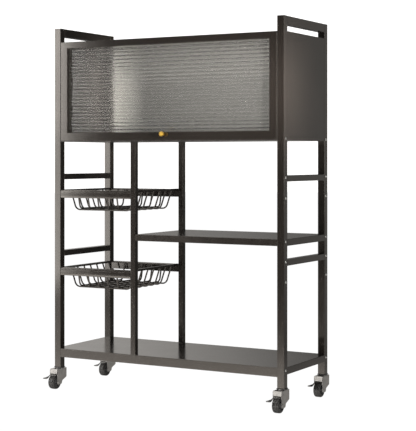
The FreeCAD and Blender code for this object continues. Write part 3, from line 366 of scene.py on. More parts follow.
# ------------------------------------------------------------ mesh helpers
class Build:
    """Collects quads and polygons given in millimetres, then makes one object of them."""

    def __init__(self):
        self.bm = bmesh.new()

    def add(self, verts, faces, smooth=True):
        vs = [self.bm.verts.new(v) for v in verts]
        made = []
        for f in faces:
            face = self.bm.faces.new([vs[i] for i in f])
            face.smooth = smooth
            made.append(face)
        return vs, made

    def take(self, other):
        """Adds another bmesh and frees it."""
        me = bpy.data.meshes.new("tmp")
        other.to_mesh(me)
        other.free()
        self.bm.from_mesh(me)
        bpy.data.meshes.remove(me)

    def done(self, name, mat, body, nodes=(), slot=None, angle=42, origin=P(0, 0, 0), shift=None):
        bmesh.ops.recalc_face_normals(self.bm, faces=self.bm.faces)
        me = bpy.data.meshes.new(name)
        if shift is not None:
            bmesh.ops.translate(self.bm, verts=self.bm.verts, vec=Vector(shift))
        for v in self.bm.verts:
            v.co = P(*v.co)
        self.bm.to_mesh(me)
        self.bm.free()
        for p in me.polygons:
            p.use_smooth = True
        me.set_sharp_from_angle(angle=math.radians(angle))
        me.materials.append(mat)
        ob = bpy.data.objects.new(name, me)
        scene.collection.objects.link(ob)
        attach(ob, body)
        if nodes:
            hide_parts(*nodes)
        return ob


def rounded(points, radii, steps=8, closed=False):
    """Polyline with each corner turned into an arc of its radius (one number or one per corner)."""
    pts = [Vector(p) for p in points]
    n = len(pts)
    if isinstance(radii, (int, float)):
        radii = [radii] * n
    out = []
    for i, p in enumerate(pts):
        if not closed and i in (0, n - 1):
            out.append(p.copy())
            continue
        a, b = pts[i - 1] - p, pts[(i + 1) % n] - p
        r = radii[i]
        la, lb = a.length, b.length
        if r <= 0 or la < 1e-9 or lb < 1e-9:
            out.append(p.copy())
            continue
        a, b = a / la, b / lb
        half = a.angle(b) / 2
        if half > math.radians(89.5) or half < 1e-3:
            out.append(p.copy())
            continue
        t = min(r / math.tan(half), la * 0.49, lb * 0.49)
        r = t * math.tan(half)
        centre = p + (a + b).normalized() * (r / math.sin(half))
        u, w = (p + a * t) - centre, (p + b * t) - centre
        turn = u.angle(w)
        for k in range(steps + 1):
            f = k / steps
            out.append(centre + (u * math.sin((1 - f) * turn) + w * math.sin(f * turn)) / math.sin(turn))
    return out


def sweep(build, path, radius, n=14, caps=True, closed=False, section=None):
    """Round wire, or any section of (u, v) points, along a path without twist."""
    path = [Vector(p) for p in path]
    clean = [path[0]]
    for p in path[1:]:
        if (p - clean[-1]).length > 1e-4:
            clean.append(p)
    if closed and (clean[0] - clean[-1]).length < 1e-4:
        clean.pop()
    path = clean
    m = len(path)
    tang = []
    for i in range(m):
        a = path[i - 1] if (i or closed) else path[i]
        b = path[(i + 1) % m] if (i < m - 1 or closed) else path[i]
        d = (path[i] - a).normalized() + (b - path[i]).normalized()
        tang.append(d.normalized())
    up = Vector((0, 0, 1)) if abs(tang[0].z) < 0.9 else Vector((1, 0, 0))
    u = (up - tang[0] * up.dot(tang[0])).normalized()
    if section is None:
        section = [(math.cos(2 * math.pi * k / n), math.sin(2 * math.pi * k / n)) for k in range(n)]
    radius = radius if callable(radius) else (lambda f, r=radius: r)
    rings = []
    verts = []
    for i in range(m):
        if i:
            q = tang[i - 1].rotation_difference(tang[i])
            u = (q @ u).normalized()
        w = tang[i].cross(u)
        r = radius(i / max(1, m - 1))
        rings.append([len(verts) + k for k in range(len(section))])
        verts += [path[i] + (u * x + w * y) * r for x, y in section]
    faces = []
    k = len(section)
    for i in range(m if closed else m - 1):
        a, b = rings[i], rings[(i + 1) % m]
        for j in range(k):
            faces.append((a[j], a[(j + 1) % k], b[(j + 1) % k], b[j]))
    if caps and not closed:
        faces.append(tuple(reversed(rings[0])))
        faces.append(tuple(rings[-1]))
    build.add(verts, faces)


def lathe(build, profile, n=48, axis="X", at=(0, 0, 0), flip=1):
    """Solid of revolution about a line through at. profile is (distance along, radius)."""
    at = Vector(at)
    frames = {"X": (Vector((1, 0, 0)), Vector((0, 1, 0)), Vector((0, 0, 1))),
              "Y": (Vector((0, 1, 0)), Vector((0, 0, 1)), Vector((1, 0, 0))),
              "Z": (Vector((0, 0, 1)), Vector((1, 0, 0)), Vector((0, 1, 0)))}
    d, e, f = frames[axis]
    verts, rings = [], []
    for t, r in profile:
        if r < 1e-6:
            rings.append([len(verts)])
            verts.append(at + d * t * flip)
        else:
            rings.append(list(range(len(verts), len(verts) + n)))
            verts += [at + d * t * flip + (e * math.cos(2 * math.pi * k / n) + f * math.sin(2 * math.pi * k / n)) * r for k in range(n)]
    faces = []
    loop = len(profile)
    for i in range(loop - 1):
        a, b = rings[i], rings[i + 1]
        for k in range(n):
            q = (k + 1) % n
            if len(a) == 1 and len(b) == 1:
                continue
            if len(a) == 1:
                faces.append((a[0], b[k], b[q]))
            elif len(b) == 1:
                faces.append((a[k], b[0], a[q]))
            else:
                faces.append((a[k], a[q], b[q], b[k]))
    if len(rings[0]) > 1 and len(rings[-1]) > 1:
        a, b = rings[-1], rings[0]
        if (Vector((profile[0][0], profile[0][1], 0)) - Vector((profile[-1][0], profile[-1][1], 0))).length > 1e-6:
            for k in range(n):
                q = (k + 1) % n
                faces.append((a[k], a[q], b[q], b[k]))
        else:
            pass
    build.add(verts, faces)


def soft(profile, r=0.4, steps=3):
    """Eases the corners of a lathe profile."""
    return [(p.x, p.y) for p in rounded([(a, b, 0) for a, b in profile], r, steps)]


def prism(outline, axis, lo, hi, bevel=0.0, segments=2, sharp=30):
    """Bmesh of an outline drawn in the two other axes, running from lo to hi along axis."""
    bm = bmesh.new()
    place = {"X": lambda a, b, t: (t, a, b), "Y": lambda a, b, t: (a, t, b), "Z": lambda a, b, t: (a, b, t)}[axis]
    n = len(outline)
    low = [bm.verts.new(place(a, b, lo)) for a, b in outline]
    high = [bm.verts.new(place(a, b, hi)) for a, b in outline]
    bm.faces.new(low)
    bm.faces.new(list(reversed(high)))
    for i in range(n):
        bm.faces.new((low[i], low[(i + 1) % n], high[(i + 1) % n], high[i]))
    bmesh.ops.recalc_face_normals(bm, faces=bm.faces)
    if bevel:
        edges = [e for e in bm.edges if len(e.link_faces) == 2 and e.calc_face_angle(0) > math.radians(sharp)]
        bmesh.ops.bevel(bm, geom=edges, offset=bevel, segments=segments, affect="EDGES", clamp_overlap=True, profile=0.5)
    return bm


def blob(build, at, rx, ry, rz, n=12, m=7, axis=None):
    """Squashed bead, as a spot weld leaves."""
    at = Vector(at)
    verts, rings = [at + Vector((0, 0, rz))], [[0]]
    for i in range(1, m):
        a = math.pi * i / m
        rings.append(list(range(len(verts), len(verts) + n)))
        verts += [at + Vector((rx * math.sin(a) * math.cos(2 * math.pi * k / n), ry * math.sin(a) * math.sin(2 * math.pi * k / n), rz * math.cos(a))) for k in range(n)]
    rings.append([len(verts)])
    verts.append(at - Vector((0, 0, rz)))
    faces = []
    for i in range(m):
        a, b = rings[i], rings[i + 1]
        for k in range(n):
            q = (k + 1) % n
            if len(a) == 1:
                faces.append((a[0], b[k], b[q]))
            elif len(b) == 1:
                faces.append((a[k], b[0], a[q]))
            else:
                faces.append((a[k], b[k], b[q], a[q]))
    build.add(verts, faces)


def weld(build, a, b, r=1.5, pitch=1.7, n=8):
    """Rippled fillet bead from a to b."""
    a, b = Vector(a), Vector(b)
    length = (b - a).length
    steps = max(6, int(length / pitch * 6))
    d = (b - a).normalized()

    def radius(f):
        s = f * length / pitch
        end = min(1.0, f * length / 1.5 + 0.35, (1 - f) * length / 1.5 + 0.35)
        return r * end * (0.86 + 0.14 * abs(math.sin(math.pi * s)))

    sweep(build, [a + d * length * k / steps for k in range(steps + 1)], radius, n=n)


# ----------------------------------------------------------------- baskets
BASKET_L, BASKET_R = -425.0, -132.2
BX, BW = (BASKET_L + BASKET_R) / 2, (BASKET_R - BASKET_L) / 2
RIM_X, RIM_FRONT, RIM_BACK, RIM_W = BW - 1.5, -164.0, 147.0, 10.0
WIRE_R = 2.75


def ring_bar(build, x0, x1, y0, y1, width, z0, z1, bevel=1.1):
    """Flat bar welded into a rectangle, its long edges rounded over."""
    bm = bmesh.new()
    rows = []
    for inset in (0, width):
        for z in (z0, z1):
            rows.append([bm.verts.new(v) for v in ((x0 + inset, y0 + inset, z), (x1 - inset, y0 + inset, z), (x1 - inset, y1 - inset, z), (x0 + inset, y1 - inset, z))])
    ol, oh, il, ih = rows
    for k in range(4):
        q = (k + 1) % 4
        bm.faces.new((ol[k], ol[q], oh[q], oh[k]))
        bm.faces.new((il[q], il[k], ih[k], ih[q]))
        bm.faces.new((oh[k], oh[q], ih[q], ih[k]))
        bm.faces.new((ol[q], ol[k], il[k], il[q]))
    bmesh.ops.recalc_face_normals(bm, faces=bm.faces)
    edges = [e for e in bm.edges if e.calc_face_angle(0) > math.radians(30)]
    bmesh.ops.bevel(bm, geom=edges, offset=bevel, segments=3, affect="EDGES", clamp_overlap=True, profile=0.5)
    build.take(bm)


def basket(tag, rim):
    base = rim - 2.0
    b = Build()
    side, inset, bend, depth = RIM_X - 8.7, 23.0, 22.0, 66.0
    cross = rounded([(-side, 0, 0), (-side + inset, 0, -depth), (side - inset, 0, -depth), (side, 0, 0)], bend, 10)
    ys = [-120 + 40 * i for i in range(7)]
    for y in ys:
        sweep(b, [(BX + p.x, y, base + p.z) for p in cross], WIRE_R)
    lo, hi, end_inset, end_bend, low = RIM_FRONT + 6, RIM_BACK - 4, 14.0, 18.0, depth - 5.0
    long = rounded([(0, lo, 0), (0, lo + end_inset, -low), (0, hi - end_inset, -low), (0, hi, 0)], end_bend, 10)
    xs = [BX - 80 + 40 * i for i in range(5)]
    for x in xs:
        sweep(b, [(x, p.y, base + p.z) for p in long], WIRE_R)
        # melt marks where the two layers cross
        for y in ys:
            blob(b, (x, y, base - depth + WIRE_R), 3.5, 3.5, 1.5)
    # weld collars where the wires run into the rim
    for y in ys:
        for s in (-1, 1):
            blob(b, (BX + s * (side - 0.6), y, rim - 3.2), 4.3, 4.3, 1.5)
    for x in xs:
        for y in (lo + 0.5, hi - 0.5):
            blob(b, (x, y, rim - 3.2), 4.3, 4.0, 1.5)
    ring_bar(b, BX - RIM_X, BX + RIM_X, RIM_FRONT, RIM_BACK, RIM_W, rim - 3.0, rim + 2.0)
    b.done("basket_%s_wires" % tag, PAINT_WIRE, "basket_" + tag, ["basket_" + tag], "black_paint", angle=50)

    # front bar: a folded strip with its upper lip set back
    f = Build()
    section = [(-170, rim - 26), (-164, rim - 26), (-164, rim), (-168, rim), (-168, rim - 5.7), (-170, rim - 5.7)]
    section = [(p.x, p.y) for p in rounded([(y, z, 0) for y, z in section], [1.2, 0.8, 0.8, 0.9, 0.5, 0.9], 4, closed=True)]
    f.take(prism(section, "X", BX - BW + 1.0, BX + BW - 1.0, bevel=0.0))
    f.done("basket_%s_front_bar" % tag, PAINT_POST, "basket_" + tag, ["basket_%s_front" % tag], "black_paint", angle=30)


basket("lower", 425.6)
basket("upper", 698.1)


# -------------------------------------------------------------------- door
DOOR_Z, DOOR_H = 872.2, 347.4
OPEN_X = 425.0 - 1.1 - 27.5
OPEN_LO, OPEN_HI = 28.2, DOOR_H - 22.5
PANEL_FRONT = -170 + 15 + 0.6


def door_panel():
    """Reeded sheet: level half-round reeds on the front of a flat sheet, inside the door's opening."""
    ribs, flat, rise = 25, 0.5, 1.1
    pitch = (OPEN_HI - OPEN_LO) / ribs
    half = pitch / 2 - flat / 2
    reach, px = OPEN_X - 0.3, OPEN_X + 9.0
    lo, hi = DOOR_Z + OPEN_LO - 9.0, DOOR_Z + OPEN_HI + 9.0
    radius = (half * half + rise * rise) / (2 * rise)
    top = math.asin(half / radius)
    seg = 18
    b = Build()
    bm = b.bm
    y0, y1 = PANEL_FRONT, PANEL_FRONT + 3.0
    zs = [lo]
    arcs = []
    for k in range(ribs):
        c = DOOR_Z + OPEN_LO + pitch * (k + 0.5)
        zs += [c - half, c + half]
        arcs.append([(y0 - (radius * math.cos(a) - (radius - rise)), c + radius * math.sin(a))
                     for a in [-top + 2 * top * j / seg for j in range(1, seg)]])
    zs.append(hi)
    cols = {}
    for x in (-px, -reach, reach, px):
        cols[x] = [bm.verts.new((x, y0, z)) for z in zs]
    inner = {x: [[bm.verts.new((x, y, z)) for y, z in arc] for arc in arcs] for x in (-reach, reach)}
    for i in range(len(zs) - 1):
        for a, c in ((-px, -reach), (reach, px)):
            bm.faces.new((cols[a][i], cols[c][i], cols[c][i + 1], cols[a][i + 1]))
        rib = (i - 1) // 2 if i % 2 == 1 else None
        if rib is None:
            bm.faces.new((cols[-reach][i], cols[reach][i], cols[reach][i + 1], cols[-reach][i + 1]))
        else:
            left = [cols[-reach][i]] + inner[-reach][rib] + [cols[-reach][i + 1]]
            right = [cols[reach][i]] + inner[reach][rib] + [cols[reach][i + 1]]
            for j in range(len(left) - 1):
                bm.faces.new((left[j], right[j], right[j + 1], left[j + 1]))
            bm.faces.new(left)
            bm.faces.new(list(reversed(right)))
    back = [bm.verts.new(v) for v in ((-px, y1, lo), (px, y1, lo), (px, y1, hi), (-px, y1, hi))]
    bm.faces.new(back)
    bm.faces.new([cols[-px][0], cols[-reach][0], cols[reach][0], cols[px][0], back[1], back[0]])
    bm.faces.new([cols[px][-1], cols[reach][-1], cols[-reach][-1], cols[-px][-1], back[3], back[2]])
    bm.faces.new([back[0]] + cols[-px] + [back[3]])
    bm.faces.new([back[1]] + cols[px] + [back[2]])
    ob = b.done("door_reeded_sheet", GLASS, "door", ["door_panel"], "reeded_glass", angle=20)
    # clear sheet: the studio lights reach the inside of the cabinet
    ob.visible_shadow = False


door_panel()


def knob():
    b = Build()
    # distance out from the door's face, radius
    shape = [(0, 0), (0, 5.4), (0.4, 5.8), (1.1, 5.8), (1.6, 5.3), (2.1, 4.4), (3.2, 3.8), (4.4, 3.7), (5.3, 4.1)]
    ball = [(13.5 - 8.9 * math.cos(a), 8.9 * math.sin(a)) for a in [math.radians(v) for v in range(31, 150, 6)]]
    dish = [(21.6, 4.0), (21.95, 3.7), (22.05, 3.4), (21.9, 3.1), (21.5, 2.2), (21.3, 1.2), (21.25, 0)]
    profile = soft(shape, 0.3, 3) + ball + dish
    lathe(b, profile, 56, "Y", (0, -170, 893.0), flip=-1)
    b.done("door_knob_turned", BRASS, "door", ["door_knob"], "brass", angle=50)


knob()


# -------------------------------------------------------------------- bolts
def bolt(build, x, y, z, s, length):
    """Button-head bolt with a hexagon socket, its head under side at x, pointing to -s."""
    n = 36
    dome = [(0.0, 4.8), (0.35, 4.85), (0.8, 4.75), (1.35, 4.35), (1.9, 3.75), (2.35, 3.05), (2.65, 2.45), (2.8, 2.15)]
    rings = []
    verts = []
    for t, r in [(-length, 0.0), (-length, 2.3), (-length + 0.7, 3.0), (0.0, 3.0)] + dome:
        if r == 0:
            rings.append([len(verts)])
            verts.append((x + s * t, y, z))
            continue
        rings.append(list(range(len(verts), len(verts) + n)))
        verts += [(x + s * t, y + r * math.cos(2 * math.pi * k / n), z + r * math.sin(2 * math.pi * k / n)) for k in range(n)]

    def hexed(t, af):
        out = []
        for k in range(n):
            a = 2 * math.pi * k / n
            m = (a + math.pi / 6) % (math.pi / 3) - math.pi / 6
            r = af / 2 / math.cos(m)
            out.append((x + s * t, y + r * math.cos(a), z + r * math.sin(a)))
        return out

    for t, af in ((2.72, 3.5), (2.5, 3.3), (1.2, 3.3)):
        rings.append(list(range(len(verts), len(verts) + n)))
        verts += hexed(t, af)
    rings.append([len(verts)])
    verts.append((x + s * 0.8, y, z))
    faces = []
    for a, c in zip(rings, rings[1:]):
        for k in range(n):
            q = (k + 1) % n
            if len(a) == 1:
                faces.append((a[0], c[q], c[k]))
            elif len(c) == 1:
                faces.append((a[k], a[q], c[0]))
            else:
                faces.append((a[k], a[q], c[q], c[k]))
    build.add(verts, faces)


def nut(build, x, y, z, s, thick=3.2, af=9.5):
    """Flanged nut standing on x and rising towards -s."""
    n = 36
    verts, rings = [], []
    for t, r, six in ((0, 3.0, 0), (0, 5.9, 0), (0.7, 5.9, 0), (1.0, af, 1), (thick - 0.5, af, 1), (thick, 4.3, 0), (thick, 3.0, 0)):
        rings.append(list(range(len(verts), len(verts) + n)))
        for k in range(n):
            a = 2 * math.pi * k / n
            m = (a + math.pi / 6) % (math.pi / 3) - math.pi / 6
            rr = af / 2 / math.cos(m) if six else r
            verts.append((x - s * t, y + rr * math.cos(a), z + rr * math.sin(a)))
    faces = []
    for i in range(len(rings)):
        a, c = rings[i], rings[(i + 1) % len(rings)]
        for k in range(n):
            q = (k + 1) % n
            faces.append((a[k], a[q], c[q], c[k]))
    build.add(verts, faces)


THROUGH = {-1: [132.0, 414.6, 683.1], 1: [132.0, 544.0]}
SHORT = {-1: [479.0, 544.0, 749.5, 875.0], 1: [414.6, 479.0, 683.1, 749.5, 875.0]}
long_bolts, short_bolts, nuts = Build(), Build(), Build()
for s in (-1, 1):
    for y in (-157.5, 157.5):
        for z in THROUGH[s]:
            bolt(long_bolts, s * 450, y, z, s, 30)
            nut(nuts, s * (425 - 1.2), y, z, s)
        for z in SHORT[s]:
            bolt(short_bolts, s * 450, y, z, s, 16)
long_bolts.done("bolts_long", BRIGHT, "frame", ["through_bolts"], "bright_steel", angle=35)
short_bolts.done("bolts_short", BRIGHT, "frame", ["short_bolts"], "bright_steel", angle=35)
nuts.done("bolt_nuts", BRIGHT, "frame", (), "bright_steel", angle=35)


# ----------------------------------------------------------------- casters
CORNERS = {"front_left": (-437.5, -157.5), "front_right": (437.5, -157.5), "rear_left": (-437.5, 157.5), "rear_right": (437.5, 157.5)}
TRAIL, WR, FI, FS = 30.0, 25.0, 14.1, 2.0


def fork(c, cx, cy):
    """Pressed sheet fork: two cheeks, a roof and a hood in front, bent over a 3 mm radius."""
    xo = FI + FS
    corner = [(19, 70.3), (-36, 70.3), (-36, 54.6)]
    rest = [(-36, 19.5), (-32.5, 16), (-12.5, 16), (-8.5, 19.5), (-6.5, 28), (19, 38)]
    line = rounded([(y, z, 0) for y, z in corner + rest], [0, 0, 0, 4, 4, 4, 4, 8, 4], 6, closed=True)
    pts = [(p.x, p.y) for p in line]
    bm = bmesh.new()
    left = [bm.verts.new((-xo, y, z)) for y, z in pts]
    right = [bm.verts.new((xo, y, z)) for y, z in pts]
    bm.faces.new(left)
    bm.faces.new(list(reversed(right)))

    def at(side, y, z):
        return min(side, key=lambda v: (v.co.y - y) ** 2 + (v.co.z - z) ** 2)

    a = [at(left, *p) for p in corner]
    d = [at(right, *p) for p in corner]
    bm.faces.new((a[0], a[1], d[1], d[0]))
    bm.faces.new((a[1], a[2], d[2], d[1]))
    bmesh.ops.recalc_face_normals(bm, faces=bm.faces)
    bends = [e for e in bm.edges if len(e.link_faces) == 2 and e.calc_face_angle(0) > math.radians(40)]
    bmesh.ops.bevel(bm, geom=bends, offset=2.6, segments=4, affect="EDGES", clamp_overlap=True, profile=0.5)
    for v in bm.verts:
        v.co = P(v.co.x + cx, v.co.y + cy, v.co.z)
    bmesh.ops.triangulate(bm, faces=[f for f in bm.faces if len(f.verts) > 4])
    # outward is away from the middle of the fork
    mid = P(cx, cy - 12, 45)
    big = max(bm.faces, key=lambda f: f.calc_area())
    bmesh.ops.recalc_face_normals(bm, faces=bm.faces)
    if big.normal.dot(big.calc_center_median() - mid) < 0:
        bmesh.ops.reverse_faces(bm, faces=bm.faces)
    me = bpy.data.meshes.new("fork_shell_" + c)
    bm.to_mesh(me)
    bm.free()
    for p in me.polygons:
        p.use_smooth = True
    me.materials.append(ZINC)
    ob = bpy.data.objects.new("fork_shell_" + c, me)
    scene.collection.objects.link(ob)
    m = ob.modifiers.new("sheet", "SOLIDIFY")
    m.thickness = 0.002
    m.offset = -1
    m.use_even_offset = False
    m = ob.modifiers.new("edges", "BEVEL")
    m.width = 0.00035
    m.segments = 2
    m.limit_method = "ANGLE"
    m.angle_limit = math.radians(50)
    m = ob.modifiers.new("shading", "WEIGHTED_NORMAL")
    m.keep_sharp = True
    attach(ob, "fork_" + c)
    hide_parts("caster_fork_" + c)


def caster(c, cx, cy):
    fork(c, cx, cy)
    wy, wz = cy - TRAIL, WR
    # axle rivet: domed heads over a washer each side
    b = Build()
    o = FI + FS
    for s in (-1, 1):
        lathe(b, [(s * o, 0), (s * o, 6.2), (s * (o + 0.22), 6.3), (s * (o + 0.3), 6.1), (s * (o + 0.3), 4.9), (s * (o + 0.6), 4.6), (s * (o + 0.82), 3.4), (s * (o + 0.9), 1.8), (s * (o + 0.9), 0)], 32, "X", (cx, wy, wz))
    lathe(b, [(-o, 0), (-o, 3.0), (o, 3.0), (o, 0)], 32, "X", (cx, wy, wz))
    b.done("axle_rivet_" + c, ZINC, "fork_" + c, ["caster_axle_" + c], "zinc", angle=40)

    # hub: rim, web, boss and six ribs a side
    b = Build()
    hub = [(-13.3, 3.06), (-13.3, 5.6), (-12.9, 6.1), (-8.1, 6.9), (-7.5, 7.6), (-7.5, 13.8), (-8.1, 14.6), (-10.1, 15.2), (-10.5, 15.6), (-10.5, 17.5)]
    hub += [(-t, r) for t, r in reversed(hub)]
    lathe(b, hub, 64, "X", (cx, wy, wz))
    for s in (-1, 1):
        for k in range(6):
            a = math.pi * 2 * k / 6
            bm = bmesh.new()
            q = []
            for r, t, w in ((6.2, 11.8, 1.15), (15.3, 9.4, 0.95)):
                for x in (s * 7.1, s * t):
                    for v in (-w, w):
                        q.append(bm.verts.new((cx + x, wy + r * math.cos(a) - v * math.sin(a), wz + r * math.sin(a) + v * math.cos(a))))
            for f in ((0, 1, 3, 2), (4, 6, 7, 5), (0, 2, 6, 4), (1, 5, 7, 3), (2, 3, 7, 6), (0, 4, 5, 1)):
                bm.faces.new([q[i] for i in f])
            bmesh.ops.recalc_face_normals(bm, faces=bm.faces)
            bmesh.ops.bevel(bm, geom=list(bm.edges), offset=0.3, segments=2, affect="EDGES", clamp_overlap=True)
            b.take(bm)
    b.done("wheel_hub_" + c, HUB_PLASTIC, "wheel_" + c, ["caster_wheel_" + c], "black_plastic", angle=35)

    # tread: moulded round the hub, with a parting line and two shallow grooves
    b = Build()
    side = [(-10.5, 17.5), (-11.3, 18.2), (-11.5, 19.0), (-11.5, 20.4), (-11.42, 21.6), (-11.1, 22.7), (-10.5, 23.6), (-9.6, 24.3), (-8.4, 24.7), (-7.0, 24.88),
            (-6.7, 24.4), (-6.2, 24.4), (-5.9, 24.93), (-3.0, 24.99), (-0.35, 25.0), (0, 24.8)]
    tread = side + [(-t, r) for t, r in reversed(side[:-1])]
    lathe(b, tread, 96, "X", (cx, wy, wz))
    b.done("wheel_tread_" + c, TREAD, "wheel_" + c, ["caster_tyre_" + c], "tread", angle=45)

    # swivel head: ball race under the foot, kingpin with a riveted end
    b = Build()
    lathe(b, [(70.55, 5.0), (70.55, 15.0), (70.75, 15.7), (71.1, 16.0), (71.45, 15.8), (71.5, 15.3), (71.75, 15.3), (71.85, 15.9), (72.2, 16.0), (72.5, 15.6), (72.5, 5.0)], 64, "Z", (cx, cy, 0))
    lathe(b, [(65.2, 0), (65.2, 6.6), (65.5, 7.6), (66.2, 8.3), (66.9, 8.5), (67.6, 8.4), (67.6, 5.0), (95.0, 5.0), (95.0, 0)], 48, "Z", (cx, cy, 0))
    b.done("swivel_race_" + c, BRIGHT, "frame", ["caster_stems"] if c == "front_left" else (), "bright_steel", angle=40)

    # foot plug: rounded square flange with a chamfered edge, and its spigot inside the tube
    b = Build()
    sq = [(p.x, p.y) for p in rounded([(-15, -15, 0), (15, -15, 0), (15, 15, 0), (-15, 15, 0)], 3.2, 6, closed=True)]
    bm = prism([(cx + x, cy + y) for x, y in sq], "Z", 72.55, 75.0, bevel=0.55, segments=2, sharp=60)
    b.take(bm)
    b.take(prism([(cx + x, cy + y) for x, y in ((-11.2, -11.2), (11.2, -11.2), (11.2, 11.2), (-11.2, 11.2))], "Z", 74.0, 98.0, bevel=0.8))
    b.done("foot_plug_" + c, BLACK_PLASTIC, "frame", ["caster_plugs"] if c == "front_left" else (), "black_plastic", angle=35)

    # brake pedal: a pressed shoe over the tread, and an arm on its left that twists out into a ridged blade
    b = Build()
    shoe = [(-23, 61.5), (-28.5, 61.5), (-31, 57.5), (-32.2, 54.6), (-34, 52.6), (-37, 51.4), (-40, 50.4), (-41.5, 48.2), (-40, 48.9), (-37, 49.9), (-34, 50.65), (-31, 51.8), (-29, 55.3), (-23, 55.3)]
    shoe = [(p.x, p.y) for p in rounded([(y, z, 0) for y, z in shoe], [1.6, 1.6, 1.5, 1.2, 1.2, 1.5, 0.5, 0.3, 0.6, 1.5, 1.5, 1.2, 1.2, 1.6], 3, closed=True)]
    b.take(prism([(cy + y, z) for y, z in shoe], "X", cx - 13.6, cx + 13.6, bevel=0.35, segments=2, sharp=60))
    path = [(-36.9, 51.43), (-38.5, 50.9), (-40, 50.35), (-42, 49.05), (-44, 47.6), (-46.5, 45.55), (-49, 43.65), (-51.5, 42.25), (-54, 41.25), (-56.5, 40.72), (-59, 40.36), (-61, 40.12), (-62, 40.0)]
    outer = {-36.9: 13.6, -38.5: 13.6, -40: 13.6, -42: 13.65, -44: 14.2, -46.5: 16.0, -49: 18.9, -51.5: 22.6, -54: 26.0, -56.5: 28.2, -59: 28.8, -61: 28.2, -62: 27.2}
    cols = 12
    rows, under = [], []
    for i, (y, z) in enumerate(path):
        (ya, za), (yb, zb) = path[max(0, i - 1)], path[min(len(path) - 1, i + 1)]
        d = math.hypot(yb - ya, zb - za)
        ny, nz = (zb - za) / d, -(yb - ya) / d
        left, right = -outer[y], -12.05 - (0.5 if y == -61 else 1.3 if y == -62 else 0)
        xs = [left + (right - left) * k / cols for k in range(cols + 1)]
        # the blade is dished a little along its middle
        f = min(1.0, max(0.0, (-y - 50.0) / 6.0))
        dish = [0.45 * f * (1 - (2 * k / cols - 1) ** 2) for k in range(cols + 1)]
        rows.append([(x, y, z - v) for x, v in zip(xs, dish)])
        under.append([(x, y - 2.0 * ny, z - v - 2.0 * nz) for x, v in zip(xs, dish)])
    bm = bmesh.new()
    grid_top = [[bm.verts.new((cx + x, cy + y, z)) for x, y, z in row] for row in rows]
    grid_low = [[bm.verts.new((cx + x, cy + y, z)) for x, y, z in row] for row in under]
    for i in range(len(rows) - 1):
        for k in range(cols):
            bm.faces.new((grid_top[i][k], grid_top[i][k + 1], grid_top[i + 1][k + 1], grid_top[i + 1][k]))
            bm.faces.new((grid_low[i][k], grid_low[i + 1][k], grid_low[i + 1][k + 1], grid_low[i][k + 1]))
        bm.faces.new((grid_top[i][0], grid_top[i + 1][0], grid_low[i + 1][0], grid_low[i][0]))
        bm.faces.new((grid_top[i][-1], grid_low[i][-1], grid_low[i + 1][-1], grid_top[i + 1][-1]))
    for k in range(cols):
        bm.faces.new((grid_top[0][k], grid_low[0][k], grid_low[0][k + 1], grid_top[0][k + 1]))
        bm.faces.new((grid_top[-1][k], grid_top[-1][k + 1], grid_low[-1][k + 1], grid_low[-1][k]))
    bmesh.ops.recalc_face_normals(bm, faces=bm.faces)
    rim = [e for e in bm.edges if e.calc_face_angle(0) > math.radians(50)]
    bmesh.ops.bevel(bm, geom=rim, offset=0.3, segments=2, affect="EDGES", clamp_overlap=True)
    b.take(bm)
    for y, z, a in ((-55.0, 40.75, 24.5), (-57.3, 40.3, 26.0), (-59.6, 40.0, 26.0)):
        sweep(b, [(cx - a + (a - 14.5) * k / 10, cy + y, z) for k in range(11)], lambda f: 0.6 * min(1, f * 8 + 0.3, (1 - f) * 8 + 0.3), n=8)
    for s in (-1, 1):
        lathe(b, [(s * 13.0, 0), (s * 13.0, 1.96), (s * 16.0, 1.96), (s * 16.3, 1.5), (s * 16.35, 0)], 24, "X", (cx, cy - 26, 58.5))
    b.done("brake_pedal_" + c, ZINC_PEDAL_SHADED, "pedal_" + c, ["caster_pedal_" + c], "pedal_metal", angle=35)


for c, (cx, cy) in CORNERS.items():
    caster(c, cx, cy)

# ---------------------------------------------------------------- weld beads
beads = Build()
for s in (-1, 1):
    xi, xo = s * 425.0, s * 450.0
    for z0, z1 in ((1241.0, None), (736.5, 756.5), (466.0, 486.0)):
        for e in (-1, 1):
            y = e * 145.0
            weld(beads, (xi + s * 1.5, y - e * 0.25, z0 - 0.15), (xo - s * 1.5, y - e * 0.25, z0 - 0.15), r=1.5)
            weld(beads, (xi - s * 0.1, y - e * 0.25, z0 + 1.5), (xi - s * 0.1, y - e * 0.25, (z1 or 1269.0) - 1.5), r=1.4)
for y in (-170.0 + 19.0, 170.0 - 19.0):
    weld(beads, (-132.2 + 1.5, y, 140.85), (-113.2 - 1.5, y, 140.85), r=1.4)
for x in (-132.2, -113.2):
    for a, d in ((-168.0, -153.0), (153.0, 168.0)):
        weld(beads, (x, a, 140.85), (x, d, 140.85), r=1.4)
beads.done("frame_weld_beads", PAINT_WIRE, "frame", (), "black_paint", angle=60)


# ------------------------------------------------------------------- studio
def stage_material(name, glow, albedo):
    """Matt white paper. It gives off a little light of its own, which keeps the studio an even near-white."""
    mat = bpy.data.materials.new(name)
    t = nt(mat)
    bsdf, _ = principled(t)
    c = coords(t)
    t.links.new(ramp(t, noise(t, c, 1.2, 3.0), [(0.3, (albedo - 0.01,) * 3), (0.7, (albedo + 0.01,) * 3)]), bsdf.inputs["Base Color"])
    t.links.new(spread(t, noise(t, c, 8.0, 3.0), 0.3, 0.7, 0.85, 0.95), bsdf.inputs["Roughness"])
    bsdf.inputs["Specular IOR Level"].default_value = 0.1
    bsdf.inputs["Emission Color"].default_value = (1, 1, 1, 1)
    bsdf.inputs["Emission Strength"].default_value = glow
    return mat


